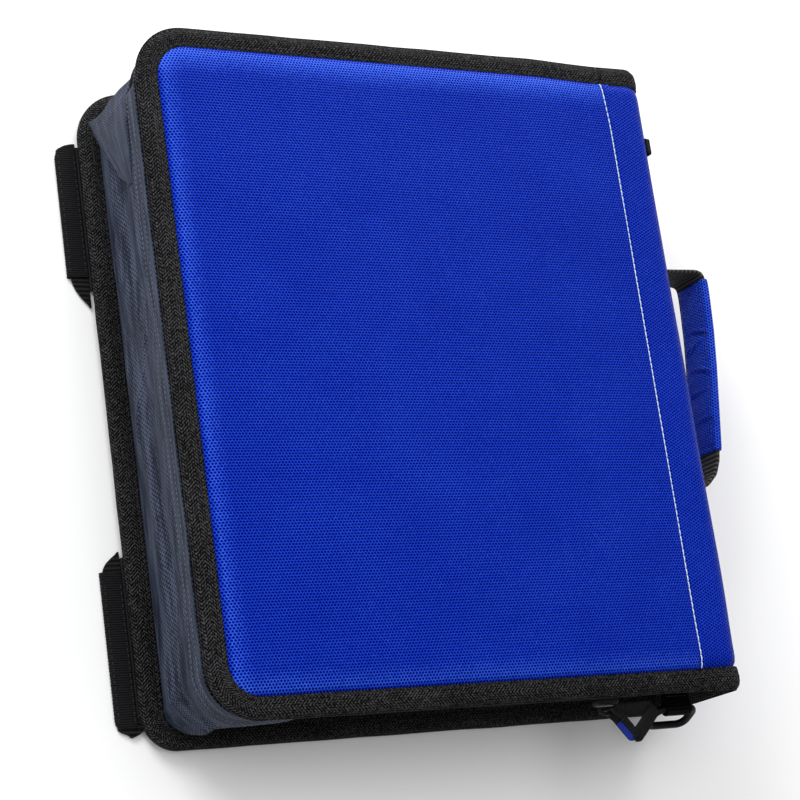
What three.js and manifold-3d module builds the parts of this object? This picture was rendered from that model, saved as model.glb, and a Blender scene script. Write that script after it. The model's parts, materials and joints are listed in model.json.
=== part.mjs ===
// Zip-around ring binder case: fabric covers, bound edges, side gusset, ring mechanism in the spine,
// carrying handle, strap rings and zipper. Millimetres. The case lies on its back cover, +Z is the
// outward side of the front cover, +X is the spine and +Y is the top edge.
import * as THREE from 'three';
import Module from 'manifold-3d';
import { mergeVertices } from 'three/addons/utils/BufferGeometryUtils.js';

const wasm = await Module();
wasm.setup();

// ---------- driving dimensions ----------
const HALF_WIDTH = 143; // spine face to opening edge is twice this
const HALF_HEIGHT = 165;
const CORNER_R = 20;
const GAP = 0.3; // clearance between neighbouring solids

const BINDING_W = 10.5;
const PANEL_INSET = BINDING_W + GAP;
const BACK_RIM = [3, 9.4]; // underside and inner face of the back cover's binding
const FRONT_RIM = [77.6, 83.2];
const FRONT_TOP = 86;
const BACK_PANEL_TOP = 5.1;
const FRONT_PANEL_BASE = 80.9;
const HINGE_X = 120; // stitched fold line of the front cover
const BACK_END_X = 142.2;
const SPINE_SKIN_X = 139.2; // inside face of the spine's outer skin
const SPINE_LINER_X = 135.3;
const SPINE_BASE_Z = 9.7;
const WALL_END_X = 134.5;
const WALL_TOP = 71;
const WALL_T = 1.2;
const GREY_END_X = -106; // where the grey gusset gives way to the black walls
const ZIP_Z = 74.6; // meeting line of the zipper teeth

const RING_YS = [-108, 0, 108];
const RING_CENTRE = [108, 45];
const RING_R = 22.5;
const WIRE_R = 1.6;
const PLATE_HALF_L = 127;
const PLATE_X = [129.6, 135];
const PLATE_HALF_W = 12.5;
const BLADE_X = [133, 134.2];
const BLADE_HALF_L = 112;
const RIVET_Y = 119;
const TRIGGER_Y = 130;

const HANDLE_ROOT_X = 149.6;
const HANDLE_REACH = 181; // middle of the grip
const HANDLE_LEAN = 0.1; // the grip stands out further towards the top
const HANDLE_Y = [-56, 60];
const HANDLE_Z = 45;
const STRAP_W = 25;
const STRAP_T = 1.8;
const SLEEVE_Y = [-36, 51];

const STRAP_RING_X = 127.3;
const STRAP_RING_Y = 168.2;
const STRAP_RING_Z = 48;
const STRAP_WIRE_R = 1.8;
const LOWER_RING_HANG = THREE.MathUtils.degToRad(65); // how far the lower ring hangs down

// Each edge loop: its ends along Y and the stretch that its sleeve covers.
const EDGE_LOOPS = [['upper', [54, 140], [68.5, 134]], ['lower', [-157, -68.6], [-152, -78.5]]];
const LOOP_ROOT_X = -145.3;
const LOOP_OUT_X = -154;

const SLIDER_X = 68;
const SLIDER_Y = -165.4;
const PULL_ANGLE = THREE.MathUtils.degToRad(50);

// ---------- materials ----------
function cloth(colour, roughness = 0.85, metalness = 0) {
  return new THREE.MeshStandardMaterial({ color: colour, roughness, metalness });
}
const BLUE = cloth(0x0a2bc8, 0.75);
const BINDING = cloth(0x1c1c1d, 0.8);
const WEBBING = cloth(0x161617, 0.85);
const GREY = cloth(0x4b5564, 0.6);
const WALL = cloth(0x151517, 0.7);
const LINER = cloth(0x1a1b1e, 0.7);
const BOARD = cloth(0x8c8270, 0.9);
const COIL = cloth(0x101011, 0.45);
const NICKEL = cloth(0xc8c9cc, 0.25, 1);
const STEEL = cloth(0xb2b4b8, 0.35, 1);
const BLACK_METAL = cloth(0x202022, 0.4, 0.6);
const BLACK_PLASTIC = cloth(0x141415, 0.5);

const part = new THREE.Group();

function addTo(group, name, geometry, material) {
  const mesh = new THREE.Mesh(geometry, material);
  mesh.name = name;
  group.add(mesh);
  return mesh;
}
const add = (name, geometry, material) => addTo(part, name, geometry, material);

// ---------- geometry helpers ----------
// Turns every face outward by the sign of the enclosed volume.
function outward(points, faces) {
  let volume = 0;
  for (const [a, b, c] of faces) {
    volume += points[a].dot(new THREE.Vector3().crossVectors(points[b], points[c]));
  }
  const index = volume > 0 ? faces.flat() : faces.map(([a, b, c]) => [a, c, b]).flat();
  const geometry = new THREE.BufferGeometry();
  geometry.setAttribute('position', new THREE.Float32BufferAttribute(points.flatMap((p) => p.toArray()), 3));
  geometry.setIndex(index);
  geometry.computeVertexNormals();
  return geometry;
}

// Joins equal-count rings of points into one closed body, with flat caps unless it closes on itself.
function loft(rings, closed = false) {
  const count = rings[0].length;
  const points = rings.flat();
  const faces = [];
  const spans = closed ? rings.length : rings.length - 1;
  for (let i = 0; i < spans; i += 1) {
    const a = i * count;
    const b = ((i + 1) % rings.length) * count;
    for (let j = 0; j < count; j += 1) {
      const k = (j + 1) % count;
      faces.push([a + j, a + k, b + k], [a + j, b + k, b + j]);
    }
  }
  if (!closed) {
    const last = (rings.length - 1) * count;
    const capOf = (ring) => {
      const origin = ring[0];
      const u = new THREE.Vector3().subVectors(ring[1], origin).normalize();
      let normal = new THREE.Vector3();
      for (let j = 0; j < count; j += 1) {
        const p = new THREE.Vector3().subVectors(ring[j], origin);
        const q = new THREE.Vector3().subVectors(ring[(j + 1) % count], origin);
        normal.add(p.cross(q));
      }
      normal = normal.normalize();
      const v = new THREE.Vector3().crossVectors(normal, u);
      const flat = ring.map((p) => {
        const d = new THREE.Vector3().subVectors(p, origin);
        return new THREE.Vector2(d.dot(u), d.dot(v));
      });
      return THREE.ShapeUtils.triangulateShape(flat, []);
    };
    const wound = (tris, ring) => {
      const [a, b, c] = tris[0];
      const area = new THREE.Vector3()
        .subVectors(ring[b], ring[a])
        .cross(new THREE.Vector3().subVectors(ring[c], ring[a]));
      let sum = new THREE.Vector3();
      for (let j = 0; j < count; j += 1) {
        const p = new THREE.Vector3().subVectors(ring[j], ring[0]);
        sum.add(p.cross(new THREE.Vector3().subVectors(ring[(j + 1) % count], ring[0])));
      }
      return area.dot(sum) > 0;
    };
    const first = capOf(rings[0]);
    const end = capOf(rings[rings.length - 1]);
    const turnFirst = wound(first, rings[0]);
    const turnEnd = wound(end, rings[rings.length - 1]);
    for (const [a, b, c] of first) faces.push(turnFirst ? [a, c, b] : [a, b, c]);
    for (const [a, b, c] of end) faces.push((turnEnd ? [a, b, c] : [a, c, b]).map((i) => i + last));
  }
  return outward(points, faces);
}

// Stations along the case's outline, from the spine end of the bottom edge, round the two corners of
// the opening side, to the spine end of the top edge. Each has its inward direction.
function stations(endX, cornerSteps = 6) {
  const list = [{ x: endX, y: -HALF_HEIGHT, nx: 0, ny: 1 }];
  for (const [cy, from] of [[-(HALF_HEIGHT - CORNER_R), 270], [HALF_HEIGHT - CORNER_R, 180]]) {
    for (let i = 0; i <= cornerSteps; i += 1) {
      const angle = THREE.MathUtils.degToRad(from - (90 * i) / cornerSteps);
      const c = Math.cos(angle);
      const s = Math.sin(angle);
      list.push({ x: -HALF_WIDTH + CORNER_R + CORNER_R * c, y: cy + CORNER_R * s, nx: -c, ny: -s });
    }
  }
  list.push({ x: endX, y: HALF_HEIGHT, nx: 0, ny: -1 });
  return list;
}

// A band that follows the outline. Its section is a list of [inset, z].
function band(section, path) {
  return loft(path.map((p) => section.map(([inset, z]) => (
    new THREE.Vector3(p.x + p.nx * inset, p.y + p.ny * inset, z)))));
}

// A straight wall along the bottom (side -1) or the top (side 1).
function straightBand(section, side, fromX, toX) {
  const path = [fromX, toX].map((x) => ({ x, y: side * HALF_HEIGHT, nx: 0, ny: -side }));
  return band(section, path);
}

// A cover sheet: outlines with rounded corners on the opening side, stacked by [inset, z].
// The straight spine side moves in by the same amount, counted from endX.
function slab(levels, endX, startInset) {
  return loft(levels.map(([inset, z]) => {
    const r = Math.max(CORNER_R - inset, 4);
    const left = -HALF_WIDTH + inset;
    const half = HALF_HEIGHT - inset;
    const right = endX - (inset - startInset);
    const ring = [[right, -half]];
    for (const [cy, from] of [[-half + r, 270], [half - r, 180]]) {
      for (let i = 0; i <= 6; i += 1) {
        const t = THREE.MathUtils.degToRad(from - 15 * i);
        ring.push([left + r + r * Math.cos(t), cy + r * Math.sin(t)]);
      }
    }
    ring.push([right, half]);
    return ring.map(([x, y]) => new THREE.Vector3(x, y, z));
  }));
}

const rect = (a0, a1, b0, b1) => [[a0, b0], [a1, b0], [a1, b1], [a0, b1]];

// A profile in the XZ plane pushed along Y.
function alongY(profile, y0, y1) {
  return loft([y0, y1].map((y) => profile.map(([x, z]) => new THREE.Vector3(x, y, z))));
}

function box(x, y, z) {
  return loft(z.map((level) => [[x[0], y[0]], [x[1], y[0]], [x[1], y[1]], [x[0], y[1]]]
    .map(([px, py]) => new THREE.Vector3(px, py, level))));
}

// Sweeps a section of [across, up] points along a path. "up" is a fixed direction.
function sweep(path, section, up, closed = false) {
  const n = path.length;
  const rings = path.map((p, i) => {
    const before = path[closed ? (i - 1 + n) % n : Math.max(i - 1, 0)];
    const after = path[closed ? (i + 1) % n : Math.min(i + 1, n - 1)];
    const along = new THREE.Vector3().subVectors(after, before).normalize();
    const across = new THREE.Vector3().crossVectors(along, up).normalize();
    return section.map(([a, b]) => p.clone().addScaledVector(across, a).addScaledVector(up, b));
  });
  return loft(rings, closed);
}

function circle(radius, steps) {
  return Array.from({ length: steps }, (_, i) => {
    const t = (2 * Math.PI * i) / steps;
    return [radius * Math.cos(t), radius * Math.sin(t)];
  });
}

const strapSection = (width, thickness) => rect(-thickness / 2, thickness / 2, -width / 2, width / 2);

// Points of a rectangle with rounded corners, as [a, b], anticlockwise.
function roundedRect(a0, a1, b0, b1, r, steps = 4) {
  const points = [];
  const corners = [[a1 - r, b0 + r, -90], [a1 - r, b1 - r, 0], [a0 + r, b1 - r, 90], [a0 + r, b0 + r, 180]];
  for (const [ca, cb, from] of corners) {
    for (let i = 0; i <= steps; i += 1) {
      const t = THREE.MathUtils.degToRad(from + (90 * i) / steps);
      points.push([ca + r * Math.cos(t), cb + r * Math.sin(t)]);
    }
  }
  return points;
}

function toManifold(geometry) {
  const plain = geometry.clone();
  plain.deleteAttribute('normal');
  plain.deleteAttribute('uv');
  const merged = mergeVertices(plain, 1e-4);
  return new wasm.Manifold(new wasm.Mesh({
    numProp: 3,
    vertProperties: new Float32Array(merged.attributes.position.array),
    triVerts: new Uint32Array(merged.index.array),
  }));
}

function fromManifold(solid) {
  const mesh = solid.getMesh();
  const geometry = new THREE.BufferGeometry();
  geometry.setAttribute('position', new THREE.BufferAttribute(mesh.vertProperties, 3));
  geometry.setIndex(new THREE.BufferAttribute(mesh.triVerts, 1));
  geometry.computeVertexNormals();
  return geometry;
}

function subtract(geometry, cutters) {
  let solid = toManifold(geometry);
  for (const cutter of cutters) solid = solid.subtract(toManifold(cutter));
  return fromManifold(solid);
}

// ---------- back cover ----------
// The padded panel rises from a flat resting face to the bound rim.
function backPanelLevels() {
  return [[26, 0], [19, 0.5], [14, 1.6], [PANEL_INSET, 3.2], [PANEL_INSET, BACK_PANEL_TOP]];
}
add('back_panel', slab(backPanelLevels(), BACK_END_X, PANEL_INSET), BLUE);
add('back_board', slab([[11.4, 5.4], [11.4, 7.8]], BACK_END_X, 11.4), BOARD);
add('back_liner', slab([[11.4, 8.1], [11.4, 9.1]], BACK_END_X, 11.4), LINER);
add('back_binding', band(roundedRect(0, BINDING_W, BACK_RIM[0], BACK_RIM[1], 1.2, 2), stations(BACK_END_X)),
  BINDING);

// Outer face of the gusset: inset from the outline at each height.
const GUSSET_FACE = [[11.2, SPINE_BASE_Z], [8.5, 17], [6.4, 27], [5.2, 42], [4, 60], [3.4, WALL_TOP]];
function wallSection() {
  const inner = GUSSET_FACE.map(([inset, z]) => [inset + WALL_T, z]).reverse();
  return [...GUSSET_FACE, ...inner];
}
add('side_gusset', band(wallSection(), stations(GREY_END_X)), GREY);
add('bottom_wall', straightBand(wallSection(), -1, GREY_END_X + GAP, WALL_END_X), WALL);
add('top_wall', straightBand(wallSection(), 1, GREY_END_X + GAP, WALL_END_X), WALL);

add('lower_zipper_tape', band(rect(2, 3.1, 65, ZIP_Z - GAP), stations(WALL_END_X)), WALL);
add('lower_zipper_coil', band(rect(0.5, 1.7, ZIP_Z - 1.5, ZIP_Z - GAP), stations(WALL_END_X)), COIL);

// ---------- front cover ----------
const FRONT_END_X = HINGE_X - GAP;
const frontLevels = [
  [PANEL_INSET, FRONT_PANEL_BASE], [PANEL_INSET, 83.2], [12.5, 84.6], [16, 85.6], [22, FRONT_TOP],
];
add('front_panel', slab(frontLevels, FRONT_END_X, PANEL_INSET), BLUE);
add('front_board', slab([[11.4, 79.1], [11.4, 80.6]], FRONT_END_X, 11.4), BOARD);
add('front_liner', slab([[11.4, 77.8], [11.4, 78.8]], FRONT_END_X, 11.4), LINER);
add('front_binding', band(roundedRect(0, BINDING_W, FRONT_RIM[0], FRONT_RIM[1], 1.2, 2),
  stations(FRONT_END_X)), BINDING);
add('upper_zipper_tape', band(rect(2, 3.1, ZIP_Z + GAP, FRONT_RIM[0] - GAP), stations(FRONT_END_X)), WALL);
add('upper_zipper_coil', band(rect(0.5, 1.7, ZIP_Z + GAP, ZIP_Z + 1.5), stations(FRONT_END_X)), COIL);

// ---------- spine ----------
const FLANGE_X = HINGE_X + GAP;
function cornerArc(radius, top) {
  const points = [];
  for (let i = 0; i <= 6; i += 1) {
    const t = (Math.PI / 2) * (1 - i / 6);
    points.push([HALF_WIDTH - radius + radius * Math.cos(t), top - radius + radius * Math.sin(t)]);
  }
  return points;
}
const spineSkin = [
  [FLANGE_X, FRONT_PANEL_BASE], [FLANGE_X, 83.2], [FLANGE_X + 2.5, 85.2], [FLANGE_X + 6, FRONT_TOP],
  ...cornerArc(9, FRONT_TOP), [HALF_WIDTH, SPINE_BASE_Z], [SPINE_SKIN_X, SPINE_BASE_Z],
  [SPINE_SKIN_X, FRONT_PANEL_BASE],
];
const skinHalfY = HALF_HEIGHT - PANEL_INSET;
add('spine_panel', alongY(spineSkin, -skinHalfY, skinHalfY), BLUE);
add('spine_board', box([136.6, 138.9], [-skinHalfY, skinHalfY], [9.9, 80.3]), BOARD);
add('spine_liner', alongY([[120.6, 80.6], [136.3, 80.6], [136.3, 9.9], [SPINE_LINER_X, 9.9],
  [SPINE_LINER_X, 77.8], [120.6, 77.8]], -skinHalfY, skinHalfY), LINER);
const endBinding = [
  [FLANGE_X, FRONT_RIM[0]], [FLANGE_X, FRONT_RIM[1]], ...cornerArc(9, FRONT_RIM[1]),
  [HALF_WIDTH, SPINE_BASE_Z], [SPINE_LINER_X, SPINE_BASE_Z], [SPINE_LINER_X, FRONT_RIM[0]],
];
add('spine_top_binding', alongY(endBinding, HALF_HEIGHT - BINDING_W, HALF_HEIGHT), BINDING);
add('spine_bottom_binding', alongY(endBinding, -HALF_HEIGHT, -HALF_HEIGHT + BINDING_W), BINDING);
add('spine_tab', box([HALF_WIDTH + GAP, HALF_WIDTH + 3.3], [119, 127], [70, 77]), WEBBING);

// ---------- ring mechanism ----------
// A shallow channel, open towards the spine, with a slot for each ring and a hole for each rivet.
function ringPlate() {
  const [x0, x1] = PLATE_X;
  const z0 = RING_CENTRE[1] - PLATE_HALF_W;
  const z1 = RING_CENTRE[1] + PLATE_HALF_W;
  const profile = [[x1, z0], [x0 + 1.6, z0], [x0, z0 + 2.5], [x0, z1 - 2.5], [x0 + 1.6, z1], [x1, z1],
    [x1, z1 - 1], [x0 + 2.1, z1 - 1], [x0 + 1, z1 - 3], [x0 + 1, z0 + 3], [x0 + 2.1, z0 + 1], [x1, z0 + 1]];
  const slots = RING_YS.map((y) => box([x0 - 2, x0 + 1.9], [y - 2.6, y + 2.6], [33.6, 56.4]));
  const holes = [-RIVET_Y, RIVET_Y].map((y) => {
    const hole = new THREE.CylinderGeometry(2.4, 2.4, 8, 16);
    hole.rotateZ(Math.PI / 2);
    hole.translate(x0, y, RING_CENTRE[1]);
    return hole;
  });
  return subtract(alongY(profile, -PLATE_HALF_L, PLATE_HALF_L), [...slots, ...holes]);
}
add('ring_plate', ringPlate(), STEEL);

function rivet(y) {
  const profile = [[0, 0], [2, 0], [2, 5.6], [4, 5.6], [3.4, 6.7], [1.8, 7.2], [0, 7.3]];
  const geometry = new THREE.LatheGeometry(profile.map(([r, h]) => new THREE.Vector2(r, h)), 16);
  geometry.rotateZ(Math.PI / 2);
  geometry.translate(PLATE_X[1] - 0.1, y, RING_CENTRE[1]);
  return geometry;
}
add('plate_rivet_top', rivet(RIVET_Y), NICKEL);
add('plate_rivet_bottom', rivet(-RIVET_Y), NICKEL);

// side 1 is the half towards the front cover, side -1 the half towards the back cover.
function blade(side) {
  const edges = [RING_CENTRE[1] + side * 0.4, RING_CENTRE[1] + side * 9.5].sort((a, b) => a - b);
  return box(BLADE_X, [-BLADE_HALF_L, BLADE_HALF_L], edges);
}
function halfRing(side, y) {
  const path = [];
  const root = 8;
  path.push(new THREE.Vector3(BLADE_X[0] - GAP, y, RING_CENTRE[1] + side * 3.2));
  for (let i = 0; i <= 14; i += 1) {
    const t = THREE.MathUtils.degToRad(root + (179.5 - root) * (i / 14));
    path.push(new THREE.Vector3(
      RING_CENTRE[0] + RING_R * Math.cos(t), y, RING_CENTRE[1] + side * RING_R * Math.sin(t)));
  }
  return sweep(path, circle(WIRE_R, 8), new THREE.Vector3(0, 1, 0));
}
for (const [word, side] of [['front', 1], ['back', -1]]) {
  add(`ring_blade_${word}`, blade(side), STEEL);
  ['bottom', 'middle', 'top'].forEach((place, i) => {
    add(`ring_half_${word}_${place}`, halfRing(side, RING_YS[i]), NICKEL);
  });
}

// Thumb levers past each end of the plate.
function trigger(side) {
  const profile = [[133.6, 1.2], [131.6, 1.2], [124, 5.2], [117.5, 7.4], [116.6, 6.3], [123.2, 4], [130, 0],
    [133.6, 0]];
  const rings = [RING_CENTRE[1] - 6, RING_CENTRE[1] + 6].map((z) => profile.map(([x, out]) => (
    new THREE.Vector3(x, side * (TRIGGER_Y + out), z))));
  return loft(rings);
}
add('upper_trigger', trigger(1), STEEL);
add('lower_trigger', trigger(-1), STEEL);

// ---------- handle ----------
// Shifts a point of the grip outward towards the top, in proportion to its distance from the spine.
function leaned(point) {
  const share = (point.x - HANDLE_ROOT_X) / (HANDLE_REACH - HANDLE_ROOT_X);
  const middle = (SLEEVE_Y[0] + SLEEVE_Y[1]) / 2;
  return new THREE.Vector3(point.x + (point.y - middle) * HANDLE_LEAN * share, point.y, point.z);
}
function handlePath(reach, y0, y1, rootX) {
  const path = [new THREE.Vector3(rootX, y0, HANDLE_Z)];
  for (const [cy, from, r] of [[y0 + 12, 270, 12], [y1 - 7, 0, 7]]) {
    for (let i = 0; i <= 5; i += 1) {
      const t = THREE.MathUtils.degToRad(from + 18 * i);
      path.push(new THREE.Vector3(reach - r + r * Math.cos(t), cy + r * Math.sin(t), HANDLE_Z));
    }
  }
  path.push(new THREE.Vector3(rootX, y1, HANDLE_Z));
  return path.map(leaned);
}
const UP = new THREE.Vector3(0, 0, 1);
const webbing = handlePath(HANDLE_REACH, HANDLE_Y[0], HANDLE_Y[1], HANDLE_ROOT_X);
add('handle_webbing', sweep(webbing, strapSection(STRAP_W, STRAP_T), UP), WEBBING);

// A padded sleeve round the straight middle of the strap.
function handleSleeve() {
  const half = STRAP_W / 2;
  const outer = roundedRect(HANDLE_REACH - 3, HANDLE_REACH + 3, HANDLE_Z - half - 1.5, HANDLE_Z + half + 1.5, 2.2);
  const inner = rect(HANDLE_REACH - 1.3, HANDLE_REACH + 1.3, HANDLE_Z - half - 0.4, HANDLE_Z + half + 0.4);
  const [y0, y1] = SLEEVE_Y;
  const sleeve = subtract(alongY(outer, y0, y1), [alongY(inner, y0 - 1, y1 + 1)]);
  const place = sleeve.attributes.position;
  for (let i = 0; i < place.count; i += 1) {
    place.setX(i, place.getX(i) + (place.getY(i) - (y0 + y1) / 2) * HANDLE_LEAN);
  }
  sleeve.computeVertexNormals();
  return sleeve;
}
add('handle_sleeve', handleSleeve(), BLUE);
for (const [name, y] of [['handle_anchor_top', [HANDLE_Y[1] + 1.5, HANDLE_Y[1] + 15]],
  ['handle_anchor_bottom', [HANDLE_Y[0] - 15, HANDLE_Y[0] - 1.5]]]) {
  const half = STRAP_W / 2;
  add(name, box([HALF_WIDTH + GAP, HALF_WIDTH + GAP + STRAP_T], y, [HANDLE_Z - half, HANDLE_Z + half]), WEBBING);
}

// ---------- strap rings ----------
// Wall face at the height of the strap rings.
const TAB_REACH = STRAP_RING_Y - (HALF_HEIGHT - 4.8) - GAP;
function strapTab() {
  const hole = STRAP_WIRE_R + 0.4;
  const eye = hole + 1.2;
  const open = Math.asin(0.8 / eye);
  const shape = new THREE.Shape();
  shape.moveTo(-TAB_REACH, -0.8);
  shape.lineTo(-eye * Math.cos(open), -0.8);
  shape.absarc(0, 0, eye, Math.PI + open, 3 * Math.PI - open, false);
  shape.lineTo(-TAB_REACH, 0.8);
  shape.closePath();
  const bore = new THREE.Path();
  bore.absarc(0, 0, hole, 0, 2 * Math.PI, true);
  shape.holes.push(bore);
  const geometry = new THREE.ExtrudeGeometry(shape, { depth: 15, bevelEnabled: false, curveSegments: 9 });
  geometry.translate(0, 0, -7.5);
  return geometry;
}
// A D-shaped ring in its own plane: the straight bar lies on the local X axis.
function strapRing() {
  const path = [];
  for (const [a, b] of roundedRect(-11.5, 11.5, -14.5, 0, 4.5, 4)) path.push(new THREE.Vector3(a, b, 0));
  return sweep(path, circle(STRAP_WIRE_R, 8), UP, true);
}
for (const [word, side] of [['upper', 1], ['lower', -1]]) {
  const seat = new THREE.Group();
  seat.position.set(STRAP_RING_X, side * STRAP_RING_Y, STRAP_RING_Z);
  const tab = strapTab();
  tab.rotateX(Math.PI / 2);
  tab.rotateZ(side * Math.PI / 2);
  addTo(seat, `${word}_ring_tab`, tab, WEBBING);
  const ring = strapRing();
  ring.rotateX(side > 0 ? Math.PI / 2 : LOWER_RING_HANG);
  addTo(seat, `${word}_strap_ring`, ring, BLACK_METAL);
  part.add(seat);
}

// ---------- edge loops ----------
// A flat strap beside the back cover: rounded bare ends, with a flat sleeve over the stretch between.
for (const [word, [y0, y1], [s0, s1]] of EDGE_LOOPS) {
  const out = LOOP_OUT_X;
  const outline = [[LOOP_ROOT_X, y0 + 1.5], [out + 7, y0], [out + 2.6, y0 + 1.4], [out, y0 + 6], [out, y1 - 6],
    [out + 2.6, y1 - 1.4], [out + 7, y1], [LOOP_ROOT_X, y1 - 1.5], [LOOP_ROOT_X, s1 + GAP],
    [LOOP_ROOT_X - 0.9, s1 + GAP], [LOOP_ROOT_X - 0.9, s0 - GAP], [LOOP_ROOT_X, s0 - GAP]];
  add(`${word}_edge_loop_webbing`,
    loft([0.8, 2.4].map((z) => outline.map(([px, py]) => new THREE.Vector3(px, py, z)))), WEBBING);
  const outer = alongY(rect(out - 0.9, LOOP_ROOT_X, 0.2, 3), s0, s1);
  const inner = alongY(rect(out - 0.3, LOOP_ROOT_X - 0.6, 0.5, 2.7), s0 - 1, s1 + 1);
  add(`${word}_edge_loop_sleeve`, subtract(outer, [inner]), BINDING);
  add(`${word}_edge_loop_anchor`, box([-143.6, -133], [y0 + 8, y1 - 3], [0.8, 2.4]), WEBBING);
}

// ---------- zipper slider and pull ----------
const slider = new THREE.Group();
slider.position.set(SLIDER_X, SLIDER_Y, ZIP_Z);
function sliderBody() {
  const rings = [[0, 1], [-1.6, 1], [-2.9, 0.8]].map(([y, scale]) => (
    roundedRect(-6.2 * scale, 6.2 * scale, -4.2 * scale, 4.2 * scale, 1.6).map(([x, z]) => (
      new THREE.Vector3(x, y, z)))));
  return loft(rings);
}
addTo(slider, 'zipper_slider', sliderBody(), BLACK_METAL);
function bail() {
  const path = [];
  for (let i = 0; i <= 8; i += 1) {
    const t = Math.PI * (i / 8);
    path.push(new THREE.Vector3(4.4 * Math.cos(t), -3.2 - 3.6 * Math.sin(t), 0));
  }
  return sweep(path, circle(0.8, 6), UP);
}
addTo(slider, 'slider_bail', bail(), BLACK_METAL);
const pull = new THREE.Group();
pull.position.set(0, -4.7, 0);
pull.rotation.z = PULL_ANGLE;
function pullFrame() {
  const path = roundedRect(-8.5, 0, -3.6, 3.6, 1.4, 2).map(([y, z]) => new THREE.Vector3(0, y, z));
  return sweep(path, circle(0.7, 6), new THREE.Vector3(1, 0, 0), true);
}
addTo(pull, 'zipper_pull', pullFrame(), BLACK_METAL);
slider.add(pull);
// The ribbon loop hangs from the pull's frame, on a turned seat so that its corners read along X and Y.
const ribbonSeat = new THREE.Group();
ribbonSeat.rotation.z = -PULL_ANGLE;
function pullRibbon() {
  const corners = [[4.4, -3.8], [5, -6.8], [9, -11], [13.4, -14.6], [17.5, -13.2], [23, -7.5], [27.2, -3.4], [24.5, -2],
    [14, -1.9], [6, -2.2]];
  const curve = new THREE.CatmullRomCurve3(corners.map(([x, y]) => new THREE.Vector3(x, y, 0)), true);
  return sweep(curve.getPoints(36).slice(0, 36), strapSection(4.6, 1), UP, true);
}
addTo(ribbonSeat, 'pull_ribbon', pullRibbon(), BLUE);
pull.add(ribbonSeat);
part.add(slider);

export default part;
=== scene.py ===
"""The looks of a zip-around ring binder case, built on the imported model. Lengths in this file are in
millimetres until a mesh is made; the frame is the model's own: +Z out of the front cover, +Y the top
edge, +X the spine, and the case lies on its back cover."""
import json
import math

import bmesh
import bpy
import numpy as np
from mathutils import Matrix, Vector


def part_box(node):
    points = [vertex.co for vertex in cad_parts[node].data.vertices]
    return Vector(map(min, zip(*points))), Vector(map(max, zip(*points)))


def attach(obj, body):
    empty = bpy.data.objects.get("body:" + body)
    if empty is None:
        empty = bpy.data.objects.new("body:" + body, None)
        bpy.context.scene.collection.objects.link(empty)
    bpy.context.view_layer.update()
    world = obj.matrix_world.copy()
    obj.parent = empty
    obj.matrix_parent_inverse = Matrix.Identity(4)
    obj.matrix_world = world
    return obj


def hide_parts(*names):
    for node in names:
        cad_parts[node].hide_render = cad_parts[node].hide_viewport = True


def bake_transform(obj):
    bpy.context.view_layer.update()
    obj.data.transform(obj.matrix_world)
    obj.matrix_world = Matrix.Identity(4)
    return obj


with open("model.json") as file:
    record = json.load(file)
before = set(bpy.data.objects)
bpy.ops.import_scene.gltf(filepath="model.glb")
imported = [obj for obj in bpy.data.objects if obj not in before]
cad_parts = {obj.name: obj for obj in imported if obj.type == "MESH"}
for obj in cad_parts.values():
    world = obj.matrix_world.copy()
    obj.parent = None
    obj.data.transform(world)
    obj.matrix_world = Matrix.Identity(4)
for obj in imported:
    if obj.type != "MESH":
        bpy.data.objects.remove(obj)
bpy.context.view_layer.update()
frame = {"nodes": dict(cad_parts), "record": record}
MM = 0.001
BODY_OF = {node: body for body, nodes in frame["record"]["behaviour"]["bodies"].items() for node in nodes}


def box_mm(node):
    low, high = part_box(node)
    return np.array(low) / MM, np.array(high) / MM


# ---------- main places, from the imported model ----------
FRONT_LO, FRONT_HI = box_mm("front_binding")
BACK_HI = box_mm("back_binding")[1]
SPINE_TAPE_LO, SPINE_TAPE_HI = box_mm("spine_top_binding")
LEFT, HALF_H = FRONT_LO[0], FRONT_HI[1]
HINGE_X = FRONT_HI[0] + 0.3
SPINE_X = box_mm("spine_panel")[1][0]
BINDING_W = SPINE_TAPE_HI[1] - SPINE_TAPE_LO[1]
USUAL_CORNER_R = 20.0
FRONT_CORNERS = (25.0, 27.0)
BACK_CORNERS = (17.5, 27.0)
ZIP_Z = (box_mm("lower_zipper_coil")[1][2] + box_mm("upper_zipper_coil")[0][2]) / 2
WALL_END_X = box_mm("bottom_wall")[1][0]
GREY_END_X = box_mm("side_gusset")[1][0]
WALL_BASE = box_mm("side_gusset")[0][2]
SPINE_BULGE = 2.3
SPINE_FACE = SPINE_X + SPINE_BULGE
ZIP_INSET = 3.3


# ---------- small numeric helpers ----------
def ripple(a, b, seed, wave_a, wave_b, count=9):
    """Smooth repeatable unevenness, about -1 to 1. wave_a and wave_b are its usual lengths along a and b."""
    rng = np.random.default_rng(seed)
    total = np.zeros(np.broadcast(a, b).shape)
    for _ in range(count):
        ka, kb = rng.normal(0, 1, 2) * 2 * math.pi / np.array([wave_a, wave_b]) * 0.6
        total = total + np.sin(ka * a + kb * b + rng.uniform(0, 2 * math.pi))
    return total / math.sqrt(count)


def smooth(x, low, high):
    t = np.clip((x - low) / (high - low), 0, 1)
    return t * t * (3 - 2 * t)


def hump(x, width):
    """A bell curve: 1 at zero, and about a third at the width."""
    return np.exp(-(x / width) ** 2)


def rounded(x):
    """A quarter circle: steep at zero, level from 1 on."""
    return np.sqrt(np.clip(1 - (1 - np.clip(x, 0, 1)) ** 2, 0, 1))


def join(*columns):
    """Numbers and arrays side by side, as points on a last axis."""
    return np.stack(np.broadcast_arrays(*columns), -1)


def chain(*parts):
    """Points and lines one after another, as one line."""
    return np.concatenate([np.atleast_2d(part) for part in parts])


def at_y(line, y):
    """An (x, z) line set at y."""
    return join(line[:, 0], y, line[:, 1])


def grid(a, b):
    return np.meshgrid(a, b, indexing="ij")


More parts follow.
